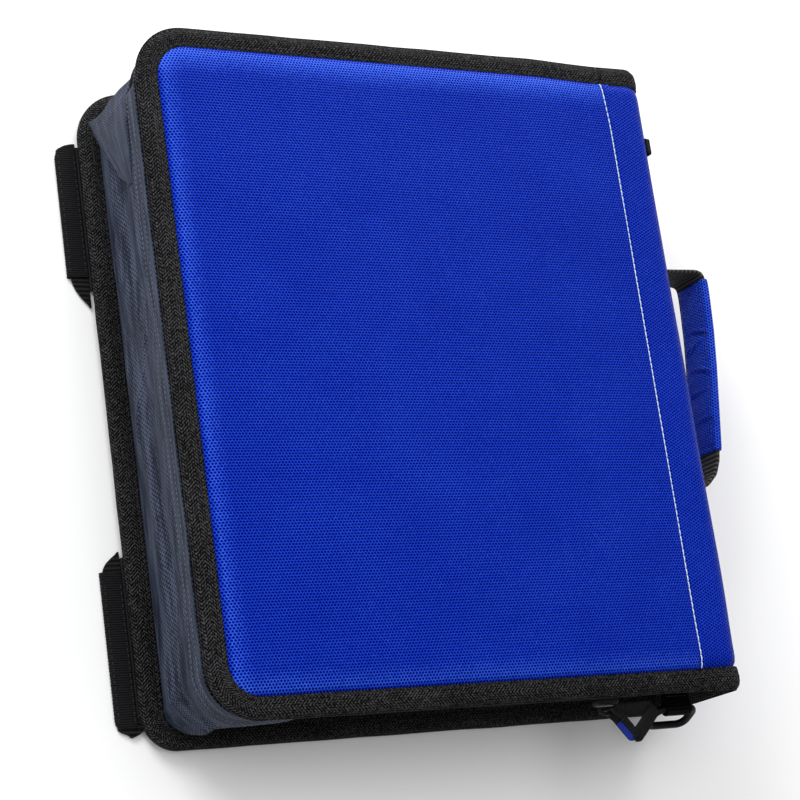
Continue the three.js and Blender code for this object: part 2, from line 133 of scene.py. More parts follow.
def arc(cx, cy, radius, start, end, steps):
    """Points on an arc, angles in degrees."""
    t = np.radians(np.linspace(start, end, steps + 1))
    return join(cx + radius * np.cos(t), cy + radius * np.sin(t))


def lengths(line, closed=False):
    """The length along a polyline at each of its points."""
    if closed:
        line = np.concatenate([line, line[:1]])
    return np.concatenate([[0], np.cumsum(np.linalg.norm(np.diff(line, axis=0), axis=1))])


def shares(line):
    return lengths(line) / lengths(line)[-1]


def pick(line, at, s):
    """Points of a polyline where its measure s, one value for each of its points, has the values at."""
    return np.stack([np.interp(at, s, column) for column in line.T], 1)


def resample(line, spacing):
    """The same polyline with even steps."""
    line = np.array(line, float)
    s = lengths(line)
    return pick(line, np.linspace(0, s[-1], max(2, int(round(s[-1] / spacing)) + 1)), s)


def stuffed(points):
    """A filled case: the front cover sits a little higher at the opening side and its top edge bows out."""
    x, y, z = np.asarray(points, float).T
    high = smooth(z, 14, 76)
    up = 2.6 * np.clip((HINGE_X - x) / (HINGE_X - LEFT), 0, 1) * high
    out = 1.3 * smooth(y, 60, HALF_H) * smooth(HINGE_X - x, 2, 45) * high
    return join(x, y + out, z + up)


# ---------- mesh making ----------
class Builder:
    """Collects vertices, faces, a UV map in millimetres and a material index for each face."""

    def __init__(self):
        self.verts, self.faces, self.uvs, self.mats, self.count = [], [], [], [], 0

    def add(self, verts, faces, uvs, mat=0):
        self.verts.append(np.asarray(verts, float).reshape(-1, 3))
        self.faces += [tuple(i + self.count for i in f) for f in faces]
        self.uvs += uvs
        self.mats += [mat] * len(faces)
        self.count += len(self.verts[-1])
        return self

    def rings(self, rings, u, v, closed_path=False, mat=0):
        """A skin through rings (n, m, 3), with flat ends unless the path is closed. u has a length for each
        ring and v one for each point of a ring, with one more where the path or the ring closes."""
        rings = np.asarray(rings, float)
        n, m, _ = rings.shape
        faces, uvs = [], []
        for i in range(n if closed_path else n - 1):
            k = (i + 1) % n
            for j in range(m):
                q = (j + 1) % m
                faces.append((i * m + j, i * m + q, k * m + q, k * m + j))
                uvs.append([(u[i], v[j]), (u[i], v[j + 1]), (u[i + 1], v[j + 1]), (u[i + 1], v[j])])
        for row, order in () if closed_path else ((0, range(m)[::-1]), (n - 1, range(m))):
            faces.append(tuple(row * m + j for j in order))
            uvs.append([(u[row], v[j]) for j in order])
        return self.add(rings, faces, uvs, mat)

    def shell(self, surface, thickness, u, v):
        """A sheet (n, m, 3) made thick on the side that its normals point away from."""
        surface = np.asarray(surface, float)
        normal = np.cross(np.gradient(surface, axis=0), np.gradient(surface, axis=1))
        normal /= np.maximum(np.linalg.norm(normal, axis=2, keepdims=True), 1e-9)
        under = surface - normal * thickness
        n, m, _ = surface.shape
        low = n * m
        faces, uvs = [], []
        for i in range(n - 1):
            for j in range(m - 1):
                quad = [(i, j), (i, j + 1), (i + 1, j + 1), (i + 1, j)]
                for start, order in ((0, quad[::-1]), (low, quad)):
                    faces.append(tuple(start + a * m + b for a, b in order))
                    uvs.append([(u[a], v[b]) for a, b in order])
        edge = [(i, 0) for i in range(n)] + [(n - 1, j) for j in range(1, m)]
        edge += [(i, m - 1) for i in range(n - 2, -1, -1)] + [(0, j) for j in range(m - 2, 0, -1)]
        for (i, j), (k, q) in zip(edge, edge[1:] + edge[:1]):
            faces.append((i * m + j, k * m + q, low + k * m + q, low + i * m + j))
            uvs.append([(u[i], v[j]), (u[k], v[q]), (u[k], v[q]), (u[i], v[j])])
        return self.add(np.concatenate([surface.reshape(-1, 3), under.reshape(-1, 3)]), faces, uvs)

    def tube(self, path, radius, sides=16, closed=False, up=(0, 0, 1), mat=0):
        """A round rod along a path."""
        rings = sweep(path, arc(0, 0, 1, 0, 360, sides)[:-1] * radius, up, closed)
        around = np.linspace(0, 2 * math.pi * radius, sides + 1)
        return self.rings(rings, lengths(path, closed), around, closed_path=closed, mat=mat)

    def strap(self, path, section, up):
        """A section carried along a path."""
        return self.rings(sweep(path, section, up), lengths(path), lengths(section, True))

    def stitches(self, path, normal, long=2.4, gap=1.0, radius=0.28, mat=0):
        """A row of short threads on a surface: path (n, 3) and the surface's normal at each point."""
        path, normal = np.asarray(path, float), np.broadcast_to(np.asarray(normal, float), np.shape(path))
        s = lengths(path)
        count = int(s[-1] // (long + gap))
        for i in range(count):
            start = (i + 0.5) * s[-1] / count - long / 2
            up = pick(normal, [start], s)[0]
            points = pick(path, start + long * np.array([0, 0.16, 0.5, 0.84, 1]), s)
            points = points + up * (radius * np.array([-1.1, 0.1, 0.45, 0.1, -1.1]))[:, None]
            self.tube(points, radius, sides=6, up=up, mat=mat)
        return self

    def make(self, name, materials, *nodes, body=None, slot=None, blended=False, angle=None, lift=False):
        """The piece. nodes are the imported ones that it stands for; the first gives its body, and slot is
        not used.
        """
        mesh = bpy.data.meshes.new(name)
        places = np.concatenate(self.verts)
        mesh.from_pydata(((stuffed(places) if lift else places) * MM).tolist(), [], self.faces)
        layer = mesh.uv_layers.new(name="UVMap")
        layer.data.foreach_set("uv", np.concatenate([np.ravel(f) for f in self.uvs]))
        for material in materials if isinstance(materials, list) else [materials]:
            mesh.materials.append(material)
        mesh.polygons.foreach_set("material_index", self.mats)
        mesh.polygons.foreach_set("use_smooth", [True] * len(self.faces))
        mesh.update()
        obj = bpy.data.objects.new(name, mesh)
        bpy.context.scene.collection.objects.link(obj)
        outward_faces(mesh)
        if angle:
            mesh.set_sharp_from_angle(angle=math.radians(angle))
        if not blended:
            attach(obj, body or BODY_OF[nodes[0]])
        if nodes:
            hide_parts(*nodes)
        return obj


def outward_faces(mesh):
    """Turns the faces of every closed part of the mesh outward."""
    bm = bmesh.new()
    bm.from_mesh(mesh)
    bmesh.ops.recalc_face_normals(bm, faces=bm.faces)
    bm.to_mesh(mesh)
    bm.free()


def sweep(path, section, up, closed=False):
    """Rings of a section of (across, up) points along a path. up is one direction or one per point."""
    path, section = np.asarray(path, float), np.asarray(section, float)
    if closed:
        along = np.roll(path, -1, axis=0) - np.roll(path, 1, axis=0)
    else:
        along = np.gradient(path, axis=0)
    along /= np.linalg.norm(along, axis=1, keepdims=True)
    across = np.cross(along, np.broadcast_to(np.asarray(up, float), path.shape))
    across /= np.maximum(np.linalg.norm(across, axis=1, keepdims=True), 1e-9)
    up = np.cross(across, along)
    return path[:, None] + across[:, None] * section[..., :1] + up[:, None] * section[..., 1:2]


def rounded_rect(a0, a1, b0, b1, r, steps=5):
    corners = [(a1 - r, b0 + r, -90), (a1 - r, b1 - r, 0), (a0 + r, b1 - r, 90), (a0 + r, b0 + r, 180)]
    return chain(*(arc(a, b, r, start, start + 90, steps) for a, b, start in corners))


def strap_section(width, thickness, edge_steps=3, across_steps=10):
    """A flat strap: (thickness, width) points with rounded edges."""
    h, w = thickness / 2, width / 2
    flat = np.linspace(-w + h, w - h, across_steps + 1)
    return chain(join(h, flat), arc(0, w - h, h, 0, 180, edge_steps * 2)[1:-1],
                 join(-h, flat[::-1]), arc(0, -w + h, h, 180, 360, edge_steps * 2)[1:-1])


def outline(end_x, spacing, corner_steps, corners=FRONT_CORNERS):
    """Points round the case from the bottom edge's end, by the opening side, to the top edge's end:
    (x, y), inward normal and length. corners has the bottom and the top corner's radius."""
    low_r, high_r = corners
    edge_count = max(2, int((end_x - LEFT - USUAL_CORNER_R) / spacing))
    side_count = max(2, int(2 * (HALF_H - USUAL_CORNER_R) / spacing))

    def line(a, b, n, count):
        points = np.stack([np.linspace(a[k], b[k], count, endpoint=False) for k in (0, 1)], 1)
        return points, np.broadcast_to(n, points.shape)

    def corner(side, r, start, end):
        centre = np.array([LEFT + r, side * (HALF_H - r)])
        points = arc(*centre, r, start, end, corner_steps)[:-1]
        return points, (centre - points) / r

    low, high = LEFT + low_r, LEFT + high_r
    parts = [line((end_x, -HALF_H), (low, -HALF_H), (0.0, 1.0), edge_count), corner(-1, low_r, 270, 180),
             line((LEFT, low_r - HALF_H), (LEFT, HALF_H - high_r), (1.0, 0.0), side_count),
             corner(1, high_r, 180, 90), line((high, HALF_H), (end_x, HALF_H), (0.0, -1.0), edge_count),
             (np.array([[end_x, HALF_H]]), np.array([[0.0, -1.0]]))]
    base, normal = (np.concatenate(column) for column in zip(*parts))
    return base, normal, lengths(base)


def band(base, normal, section):
    """Rings of (inset, z) points that follow the outline."""
    section = np.asarray(section, float)
    flat = base[:, None] + normal[:, None] * section[..., :1]
    return join(flat[..., 0], flat[..., 1], section[..., 1])


# ---------- materials ----------
class Shader:
    """A principled material with short calls for its nodes."""

    def __init__(self, name):
        self.mat = bpy.data.materials.new(name)
        self.mat.use_nodes = True
        self.tree = self.mat.node_tree
        self.bsdf = self.tree.nodes["Principled BSDF"]

    def put(self, socket, value):
        if isinstance(value, bpy.types.NodeSocket):
            self.tree.links.new(value, socket)
        else:
            socket.default_value = value

    def node(self, kind, values, **settings):
        """A new node. values has its inputs by name or by place."""
        made = self.tree.nodes.new("ShaderNode" + kind)
        for key, value in settings.items():
            setattr(made, key, value)
        for key, value in values.items():
            self.put(made.inputs[key], value)
        return made

    def math(self, operation, a, b=0.0, c=0.5):
        return self.node("Math", {0: a, 1: b, 2: c}, operation=operation).outputs[0]

    def add_scaled(self, base, value, amount):
        return self.math("MULTIPLY_ADD", value, amount, base)

    def wave(self, value, period):
        return self.math("COSINE", self.math("MULTIPLY", value, 2 * math.pi / period))

    def ridges(self, value, period):
        """The same wave between 0 and 1."""
        return self.add_scaled(0.5, self.wave(value, period), 0.5)

    def uv(self):
        split = self.node("SeparateXYZ", {0: self.node("UVMap", {}, uv_map="UVMap").outputs[0]})
        return split.outputs[0], split.outputs[1]

    def noise(self, scale, detail=3.0, rough=0.5, stretch=(1, 1, 1), from_uv=False):
        if from_uv:
            place = self.node("UVMap", {}, uv_map="UVMap").outputs[0]
        else:
            place = self.node("TexCoord", {}).outputs["Object"]
        place = self.node("Mapping", {0: place, "Scale": stretch}).outputs[0]
        values = {"Vector": place, "Scale": scale, "Detail": detail, "Roughness": rough}
        return self.node("TexNoise", values).outputs["Fac"]

    def ramp(self, value, stops):
        made = self.node("ValToRGB", {0: value})
        elements = made.color_ramp.elements
        while len(elements) < len(stops):
            elements.new(0.5)
        for element, (at, colour) in zip(elements, stops):
            element.position = at
            element.color = (*colour, 1.0)
        return made.outputs[0]

    def level(self, value, low, high, start=0.0, end=1.0):
        """low where value is start, high where it is end, and held beyond them."""
        values = {"Value": value, "From Min": start, "From Max": end, "To Min": low, "To Max": high}
        return self.node("MapRange", values).outputs[0]

    def bump(self, height, strength, distance):
        return self.node("Bump", {"Strength": strength, "Distance": distance, "Height": height}).outputs[0]

    def finish(self, colour, roughness, normal=None, **fixed):
        self.put(self.bsdf.inputs["Base Color"], colour)
        self.put(self.bsdf.inputs["Roughness"], roughness)
        if normal is not None:
            self.put(self.bsdf.inputs["Normal"], normal)
        for key, value in fixed.items():
            self.bsdf.inputs[key.replace("_", " ")].default_value = value
        return self.mat


def blue_cloth(name, rim=False, painted_lift=0.0):
    """Coarse woven nylon: rows of small dark hollows, each row set half a step over from the next.
    On a cover's shoulder, beside the binding, the cloth is painted paler: a painted highlight for the sheen
    of the rounded rim."""
    s = Shader(name)
    u, v = s.uv()
    step, rows = 1.64, 2.73
    product = s.math("MULTIPLY", s.wave(u, step), s.wave(v, rows))
    lattice = s.add_scaled(product, s.wave(v, rows / 2), 0.45)
    raised = s.level(lattice, 1.0, 0.0, -0.45, 1.35)
    loose = s.add_scaled(raised, s.noise(1000, 2, 0.7), 0.45)
    # This lift of the whole tone is painted light for a lit copy of the cloth, not wear.
    ramp_tone = s.add_scaled(s.math("SUBTRACT", loose, 0.54 - painted_lift), s.noise(22, 4, 0.6), 0.16)
    # Painted highlight: bands along the top, bottom and opening-side rims are painted paler, standing in for
    # the sheen of the curved cover there.
    if rim:
        rim_highlights = ((s.math("SUBTRACT", HALF_H - BINDING_W, v), 15, 0.26),
                     (s.math("ADD", v, HALF_H - BINDING_W), 11, 0.17),
                     (s.math("SUBTRACT", u, LEFT + BINDING_W), 11, 0.17))
        for distance, width, amount in rim_highlights:
            rise = s.level(distance, 0.0, amount, 0.0, 2.5)
            ramp_tone = s.math("ADD", ramp_tone, s.math("MULTIPLY", rise, s.level(distance, 1.0, 0.0, 2.5, width)))
    stops = [(0.1, (0.0, 0.0004, 0.12)), (0.36, (0.0, 0.003, 0.22)), (0.6, (0.0006, 0.015, 0.34)),
             (0.8, (0.008, 0.042, 0.48)), (1.0, (0.04, 0.12, 0.75))]
    return s.finish(s.ramp(ramp_tone, stops), s.level(ramp_tone, 0.5, 0.36), s.bump(raised, 0.8, 0.0007),
                    Specular_IOR_Level=0.06, Specular_Tint=(0.1, 0.4, 1.0, 1.0))


def twill_tape(name, dark, light):
    """Binding tape in herringbone twill: slanted ridges that change direction every few millimetres."""
    s = Shader(name)
    u, v = s.uv()
    slanted = s.ridges(s.math("ADD", u, s.math("PINGPONG", v, 3.6)), 1.75)
    height = s.add_scaled(slanted, s.ridges(v, 1.2), 0.5)
    fluff = s.level(s.noise(800, 3, 0.7), 0.0, 1.0, 0.34, 0.66)
    shade = s.add_scaled(s.math("MULTIPLY", height, 0.3), fluff, 0.42)
    ramp_tone = s.add_scaled(s.math("SUBTRACT", shade, 0.06), s.noise(30, 3, 0.6), 0.2)
    tones = ((0.4, 0.07), (0.5, 0.2), (0.62, 0.55), (0.8, 1))
    stops = [(0.28, dark)] + [(at, tuple(part * c for c in light)) for at, part in tones]
    return s.finish(s.ramp(ramp_tone, stops), 0.7, s.bump(height, 0.9, 0.0006), Specular_IOR_Level=0.05)


def rib_cloth(name, period, dark, light, roughness, depth=0.0004):
    """Webbing or sleeve tape: ribs across its length, crossed by fine threads."""
    s = Shader(name)
    u, v = s.uv()
    height = s.add_scaled(s.ridges(u, period), s.ridges(v, 0.9), 0.3)
    shade = s.add_scaled(s.math("MULTIPLY", height, 0.6), s.noise(700, 3, 0.6), 0.5)
    colour = s.ramp(shade, [(0.2, dark), (0.95, light)])
    return s.finish(colour, roughness, s.bump(height, 0.9, depth), Specular_IOR_Level=0.06)


def plain_cloth(name, pitch, dark, light, roughness, patchy=0.4, specular=0.1, crease_shading=0.0):
    """A plain weave: threads over and under each other, with long streaks of painted light and shade where
    the cloth is crumpled.
    """
    s = Shader(name)
    u, v = s.uv()
    weave = s.math("MULTIPLY", s.math("SINE", s.math("MULTIPLY", u, math.pi / pitch)),
                   s.math("SINE", s.math("MULTIPLY", v, math.pi / pitch)))
    height = s.add_scaled(s.add_scaled(0.5, weave, 0.5), s.ridges(u, pitch), 0.4)
    patch = s.noise(45, 4, 0.6)
    stops = [(0.1, dark), (1.0, light)]
    if crease_shading:
        # Painted light and shade: long streaks and crumple patches lighten and darken the colour, standing in
        # for the shading of the cloth's wrinkles.
        long = s.level(s.noise(0.2, 4, 0.7, stretch=(0.14, 1, 1), from_uv=True), 0.0, 1.0, 0.36, 0.64)
        crumple = s.level(s.noise(0.9, 3, 0.7, stretch=(0.5, 1, 1), from_uv=True), -0.2, 0.2, 0.35, 0.65)
        patch = s.math("ADD", s.math("MULTIPLY", long, crease_shading), crumple)
        stops = [(0.38, dark), (0.62, tuple((a * b) ** 0.5 for a, b in zip(dark, light))), (0.92, light)]
    shade = s.add_scaled(s.math("MULTIPLY", height, 0.6), patch, patchy)
    return s.finish(s.ramp(shade, stops), s.level(patch, roughness - 0.06, roughness + 0.08),
                    s.bump(height, 0.7, 0.0001), Specular_IOR_Level=specular)


def metal(name, colour, roughness, brushed=False):
    s = Shader(name)
    grain = s.noise(60, 4, 0.6, stretch=(1, 0.06 if brushed else 1, 1))
    tones = {6: (*colour, 1.0), 7: (*(c * 0.82 for c in colour), 1.0)}
    tone = s.node("Mix", {0: s.level(s.noise(14, 3), 0.0, 0.6), **tones}, data_type="RGBA").outputs[2]
    return s.finish(tone, s.level(grain, roughness * 0.7, roughness * 1.5), s.bump(grain, 0.08, 0.0001),
                    Metallic=1.0)


def paint(name, dark, light, roughness, grain_scale=900, specular=0.4):
    s = Shader(name)
    grain = s.noise(grain_scale, 3, 0.55)
    colour = s.ramp(grain, [(0.3, dark), (0.75, light)])
    return s.finish(colour, s.level(s.noise(35, 3), roughness - 0.08, roughness + 0.1),
                    s.bump(grain, 0.15, 0.00008), Specular_IOR_Level=specular)


BLUE = blue_cloth("blue_dobby_cloth")
# The cover cloth carries the painted rim highlight.
BLUE_COVER_RIM_SHEEN = blue_cloth("blue_cover_cloth_rim_sheen", rim=True)
# A lighter copy for the handle sleeve: painted light, standing in for the light that reaches the sleeve.
BLUE_SLEEVE_LIT = blue_cloth("blue_sleeve_cloth_lit", painted_lift=0.16)
TAPE = twill_tape("binding_tape", (0.0003, 0.0003, 0.0004), (0.07, 0.07, 0.074))
# Near-black webbing for the ring tabs and the zipper tapes: painted shade, darker than the webbing itself,
# for parts that lie in shadow.
TAB_IN_SHADE = rib_cloth("tab_webbing_painted_shade", 1.6, (0.0002, 0.0002, 0.0002), (0.004, 0.004, 0.004), 0.8)
WEBBING = rib_cloth("strap_webbing", 2.3, (0.0006, 0.0006, 0.0008), (0.024, 0.024, 0.026), 0.62, depth=0.0008)
STRAP = rib_cloth("handle_webbing", 2.7, (0.0002, 0.0002, 0.0003), (0.11, 0.10, 0.085), 0.62, depth=0.0012)
FINE_RIB = rib_cloth("sleeve_rib", 1.15, (0.0008, 0.0008, 0.001), (0.018, 0.018, 0.02), 0.66)
BLUE_RIBBON = rib_cloth("ribbon_stripe", 0.9, (0.0005, 0.006, 0.12), (0.02, 0.05, 0.42), 0.55)
GREY = plain_cloth("grey_nylon", 1.15, (0.0042, 0.0062, 0.0125), (0.062, 0.075, 0.115), 0.55, patchy=0.62,
                   specular=0.05, crease_shading=0.8)
# A lighter copy of the grey nylon for the folded corner flap: painted light, for the flap catching more light
# than the gusset.
GREY_FOLD_LIT = plain_cloth("grey_nylon_fold_lit", 1.15, (0.011, 0.0145, 0.025), (0.082, 0.098, 0.145), 0.55,
                        patchy=0.5, specular=0.05, crease_shading=0.7)
# Black cloth for the top and bottom walls, made darker than the cloth itself: partly its own black, partly
# painted shade for the shadowed bottom side.
WALL_IN_SHADE = plain_cloth("black_wall_cloth_painted_shade", 0.9, (0.0004, 0.0004, 0.0004), (0.004, 0.004, 0.004), 0.8,
                   specular=0.05)
LINER = plain_cloth("black_lining", 0.6, (0.004, 0.004, 0.0045), (0.022, 0.022, 0.024), 0.6)
BOARD = paint("grey_board", (0.18, 0.16, 0.13), (0.3, 0.27, 0.22), 0.8, 220)
COIL = paint("zipper_coil_nylon", (0.001, 0.001, 0.001), (0.006, 0.006, 0.0065), 0.45, 500)
BLACK_THREAD = paint("black_thread", (0.002, 0.002, 0.0024), (0.02, 0.02, 0.022), 0.6)
GREY_THREAD = paint("grey_thread", (0.06, 0.07, 0.1), (0.14, 0.155, 0.2), 0.6)
PALE_THREAD = paint("pale_thread", (0.5, 0.62, 0.82), (0.72, 0.84, 0.98), 0.6)
BLUE_THREAD = paint("blue_thread", (0.002, 0.012, 0.16), (0.01, 0.05, 0.42), 0.5)
BLACK_METAL = paint("black_enamel", (0.0012, 0.0012, 0.0014), (0.006, 0.006, 0.0065), 0.4, 300, specular=0.13)
NICKEL = metal("polished_nickel", (0.72, 0.71, 0.69), 0.16)
STEEL = metal("plated_steel", (0.6, 0.6, 0.6), 0.3, brushed=True)


# ---------- bound edges ----------
FRONT_TAPE = (81.2, 2.2)  # middle height and half thickness of the tape
BACK_TAPE = (6.2, 3.2)
TAPE_SEAM = 9.0  # how far from the edge the tape is stitched
TAPE_STITCH = {"long": 2.3, "gap": 1.1, "radius": 0.26, "mat": 1}


def tape_section(middle, half):
    """The binding tape folded round a cover's edge: (inset, height) points."""
    top = np.array([(11.0, -1.0), (10.85, 0.1), (10.1, 0.35), (9.2, 0.25), (8.4, 0.5), (6.4, 0.7), (4.0, 0.5),
                    (2.2, 0.05), (0.9, -0.8), (0.1, -1.7), (-0.25, 0.6 - half)])
    top[:, 1] += half
    return chain(top, top[::-1] * [1, -1]) + [0, middle]


def cover_binding(name, node, middle, half, end_x, corners, lift=False):
    """The tape on three sides of a cover, with its rows of stitches."""
    base, normal, s = outline(end_x, 2.5, 18, corners)
    section = tape_section(middle, half)
    many = np.repeat(section[None], len(s), 0)
    many[..., 0] += 0.12 * ripple(s, s * 0, 3, 60, 60)[:, None]
    b = Builder().rings(band(base, normal, many), s, lengths(section, True))
    for side in (1, -1):
        row = band(base, normal, [[TAPE_SEAM, middle + side * (half + 0.25)]])[:, 0]
        b.stitches(row, (0, 0, side), **TAPE_STITCH)
    b.make(name, [TAPE, BLACK_THREAD], node, lift=lift)


def spine_profile(top, right, radius=10.0):
    """A line round the spine in x and z, from the stitched fold to the back edge."""
    return chain((HINGE_X + 0.3, top), arc(right - radius, top - radius, radius, 90, 0, 12), (right, 40.0),
                 (right - SPINE_BULGE * 0.6, 22.0), (right - SPINE_BULGE, BACK_HI[2] + 0.3))


def off_spine(line, y, height):
    """Points off a line round the spine, and the direction away from the spine at each point of the line."""
    along = np.gradient(line, axis=0)
    along /= np.linalg.norm(along, axis=1, keepdims=True)
    out_x, out_z = -along[:, 1], along[:, 0]
    return join(line[:, 0] + out_x * height, y, line[:, 1] + out_z * height), join(out_x, 0.0, out_z)


def spine_binding(name, side, node):
    """The tape on one end of the spine: over the front flange, round the corner and down."""
    line = resample(spine_profile(FRONT_TAPE[0], SPINE_FACE - 0.3, 8.0), 2.5)
    section = tape_section(0, FRONT_TAPE[1])
    inset, height = section.T[..., None]
    rings = off_spine(line, side * (HALF_H - inset), height)[0].swapaxes(0, 1)
    row, out = off_spine(line, side * (HALF_H - TAPE_SEAM), FRONT_TAPE[1] + 0.25)
    b = Builder().rings(rings, lengths(line), lengths(section, True))
    b.stitches(row, out, **TAPE_STITCH).make(name, [TAPE, BLACK_THREAD], node)


# ---------- padded covers ----------
def cover_panel(name, node, end_x, top, hinge_dip, corners):
    """A cover's padded outer panel. top is +1 for the front cover and -1 for the back one."""
    low, high = box_mm(node)
    rim = high[2] - 3.1 if top > 0 else low[2] + 3.1
    seat = low[2] if top > 0 else high[2]
    insets = np.concatenate([BINDING_W - 0.6 + np.array([0, 0.5, 1.1, 1.8, 2.6, 3.6, 4.8, 6.2, 7.8, 9.6, 12]),
                             BINDING_W + np.array([15, 19, 24, 30, 38, 48, 60, 74, 90, 106, 120])])
    first = insets[0]

    def ring(inset):
        low_r, high_r = (max(r - inset, 3.5) for r in corners)
        right = end_x - (inset - first) * 0.96
        left, half = LEFT + inset, HALF_H - inset
        line = chain((right, -half), arc(left + low_r, -half + low_r, low_r, 270, 180, 12),
                     arc(left + high_r, half - high_r, high_r, 180, 90, 12), (right, half))
        s = shares(line)
        here = np.interp(np.linspace(0, 1, 160), [0, 0.3, 0.345, 0.655, 0.7, 1], [0, *s[[1, 13, 14, 26]], 1])
        return chain(pick(line, here, s), join(right, np.linspace(half, -half, 72)[1:-1]))

    rings = []
    for inset in insets:
        x, y = ring(inset).T
        depth = inset - first
        from_ends = np.minimum(HALF_H - first - abs(y), x - (LEFT + first))
        near = np.where(abs(x - (end_x - depth * 0.96)) < 0.01, from_ends, np.minimum(from_ends, depth))
        rise = 3.3 * rounded(near / 13)
        away = end_x - x
        crown = 1.7 * (1 - np.exp(-near / 45)) * (1 - np.exp(-away / 60))
        dip = hinge_dip * hump(away, 1.6)
        wave = 0.22 * ripple(x, y, 11 + top, 70, 55) * smooth(near, 2, 20)
        pucker = 0.16 * np.sin(2 * math.pi * (x + y) / 9.5) * hump(near, 6) * smooth(near, 0.5, 3)
        z = rise + crown - dip + wave + pucker
        if top < 0:
            z = np.minimum(z, 3.06)
        rings.append(join(x, y, rim + top * z))
    floor = rings[0].copy()
    floor[:, 2] = seat
    every = np.array([floor] + rings)
    n, m, _ = every.shape
    flat = every[..., :2].reshape(-1, 2).copy()
    flat[:m, 1] -= (rim - seat) * top
    faces = [(i * m + j, i * m + (j + 1) % m, (i + 1) * m + (j + 1) % m, (i + 1) * m + j)
             for i in range(n - 1) for j in range(m)]
    faces += [tuple(range(row * m, row * m + m)) for row in (0, n - 1)]
    b = Builder().add(every, faces, [[flat[q] for q in face] for face in faces])
    b.make(name, BLUE_COVER_RIM_SHEEN, node, lift=top > 0)


def front_board():
    """The front cover's board, bowed with the filled cover."""
    low, high = box_mm("front_board")
    x = np.linspace(low[0], high[0] - 0.2, 40)
    y = np.linspace(low[1] + 0.5, high[1] - 0.5, 48)
    b = Builder().shell(join(*grid(x, y), high[2] - 0.1), high[2] - low[2] - 0.2, x, y)
    b.make("front_board_sheet", BOARD, "front_board", angle=40, lift=True)


def spine_panel():
    """The spine's padded outer cloth: the strip beyond the stitched fold, the corner and the spine's face."""
    half = HALF_H - BINDING_W + 0.6
    ys = np.linspace(-half, half, 110)
    line = resample(spine_profile(85.6, SPINE_FACE + 0.3), 2.2)
    s = lengths(line)
    grid_y, grid_s = grid(ys, s)
    near_end = half - abs(grid_y)
    push = -2.6 * (1 - rounded(near_end / 8))
    push += 0.5 * smooth(grid_s, 26, 60) * smooth(s[-1] - grid_s, 20, 50)
    push -= 0.35 * hump(grid_s, 1.6)
    push += 0.25 * ripple(grid_y, grid_s, 21, 60, 30) * smooth(near_end, 2, 14)
    inner = np.array([[139.0, BACK_HI[2] + 0.3], [139.2, 40], [139.2, 80.4], [HINGE_X + 0.3, 80.6]])
    rings = np.concatenate([off_spine(line, grid_y, push)[0], at_y(inner, ys[:, None])], 1)
    b = Builder().rings(rings, ys, np.concatenate([s, s[-1] + np.array([3, 30, 60, 80, 85])]))
    b.make("spine_cloth", BLUE, "spine_panel")


def spine_tab():
    """A small folded tab of webbing sewn on the spine."""
    low, high = box_mm("spine_tab")
    fold = np.array([(-1, -4.5), (1.2, -4.2), (2.9, -2.2), (3.1, 0.5), (1.6, 2.6), (-1.2, 3.2)])
    line = resample(fold + [SPINE_FACE, 77.5], 0.8)
    path = at_y(line, (low[1] + high[1]) / 2)
    b = Builder().strap(path, strap_section(high[1] - low[1], 1.4, 2, 6), (0, 1, 0))
    b.make("spine_tab_fold", WEBBING, "spine_tab")


def hinge_strips():
    """The cloth that bends at the stitched fold and at the back edge of the spine."""
    half = HALF_H - BINDING_W
    ys = np.linspace(-half, half, 60)
    x = np.linspace(HINGE_X - 5, HINGE_X + 5, 13)
    b = Builder().shell(join(x, ys[:, None], 84.2)[:, ::-1], 1.0, ys, x - x[0])
    strip = b.make("fold_cloth", BLUE, slot="blue_cloth", blended=True)
    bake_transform(strip)
    corner = chain((134.0, 2.0), (137.5, 2.3), arc(137.2, 8.4, 6.0, 275, 355, 9), (SPINE_X + 0.1, 13),
                   (SPINE_X + 0.3, 17))
    corner = resample(corner, 1.6)
    half = HALF_H - 1.0
    ys = np.linspace(-half, half, 90)
    surface = at_y(corner, ys[:, None])
    surface[..., 0] += 0.2 * ripple(surface[..., 1], surface[..., 2] * 3, 5, 40, 40)
    b = Builder().shell(surface, 1.1, ys, lengths(corner))
    strip = b.make("back_fold_cloth", BLUE, slot="blue_cloth", blended=True)
    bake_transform(strip)


def fold_stitches():
    """The pale row of stitches along the front cover's fold."""
    y = np.linspace(-HALF_H + 10.5, HALF_H - 10.5, 160)
    end = smooth(abs(y), HALF_H - 40, HALF_H - 9)
    x = HINGE_X + 0.1 - 1.2 * end * (y > 0) + 0.3 * end * (y < 0)
    drop = 2.4 * (1 - rounded((HALF_H - 10 - abs(y)) / 8))
    b = Builder().stitches(join(x, y, 85.75 - drop), (0, 0, 1), long=3.1, gap=0.2, radius=0.29)
    b.make("fold_stitches", PALE_THREAD, body="front_cover", slot="blue_cloth")


# ---------- gusset, walls and zipper ----------
ZIP_EDGE = 73.4  # the height of the walls' upper edge
# The walls' outer face and the slanted ends of the grey gusset, as (inset, height) and (x, height) points.
FACE = np.array([(11.3, WALL_BASE - 0.1), (8.5, 16), (6.5, 24), (5.5, 35), (5.0, 50), (3.9, 62), (3.2, 71),
                 (2.8, ZIP_EDGE)])
GREY_END = np.array([(-123.5, 9.0), (-118.8, 19.6), (-116.8, 31.0), (-111.0, 38.7), (-100.0, 54.8),
                     (-86.0, ZIP_EDGE)])
STITCH_HEIGHTS = (61.0, 67.0)


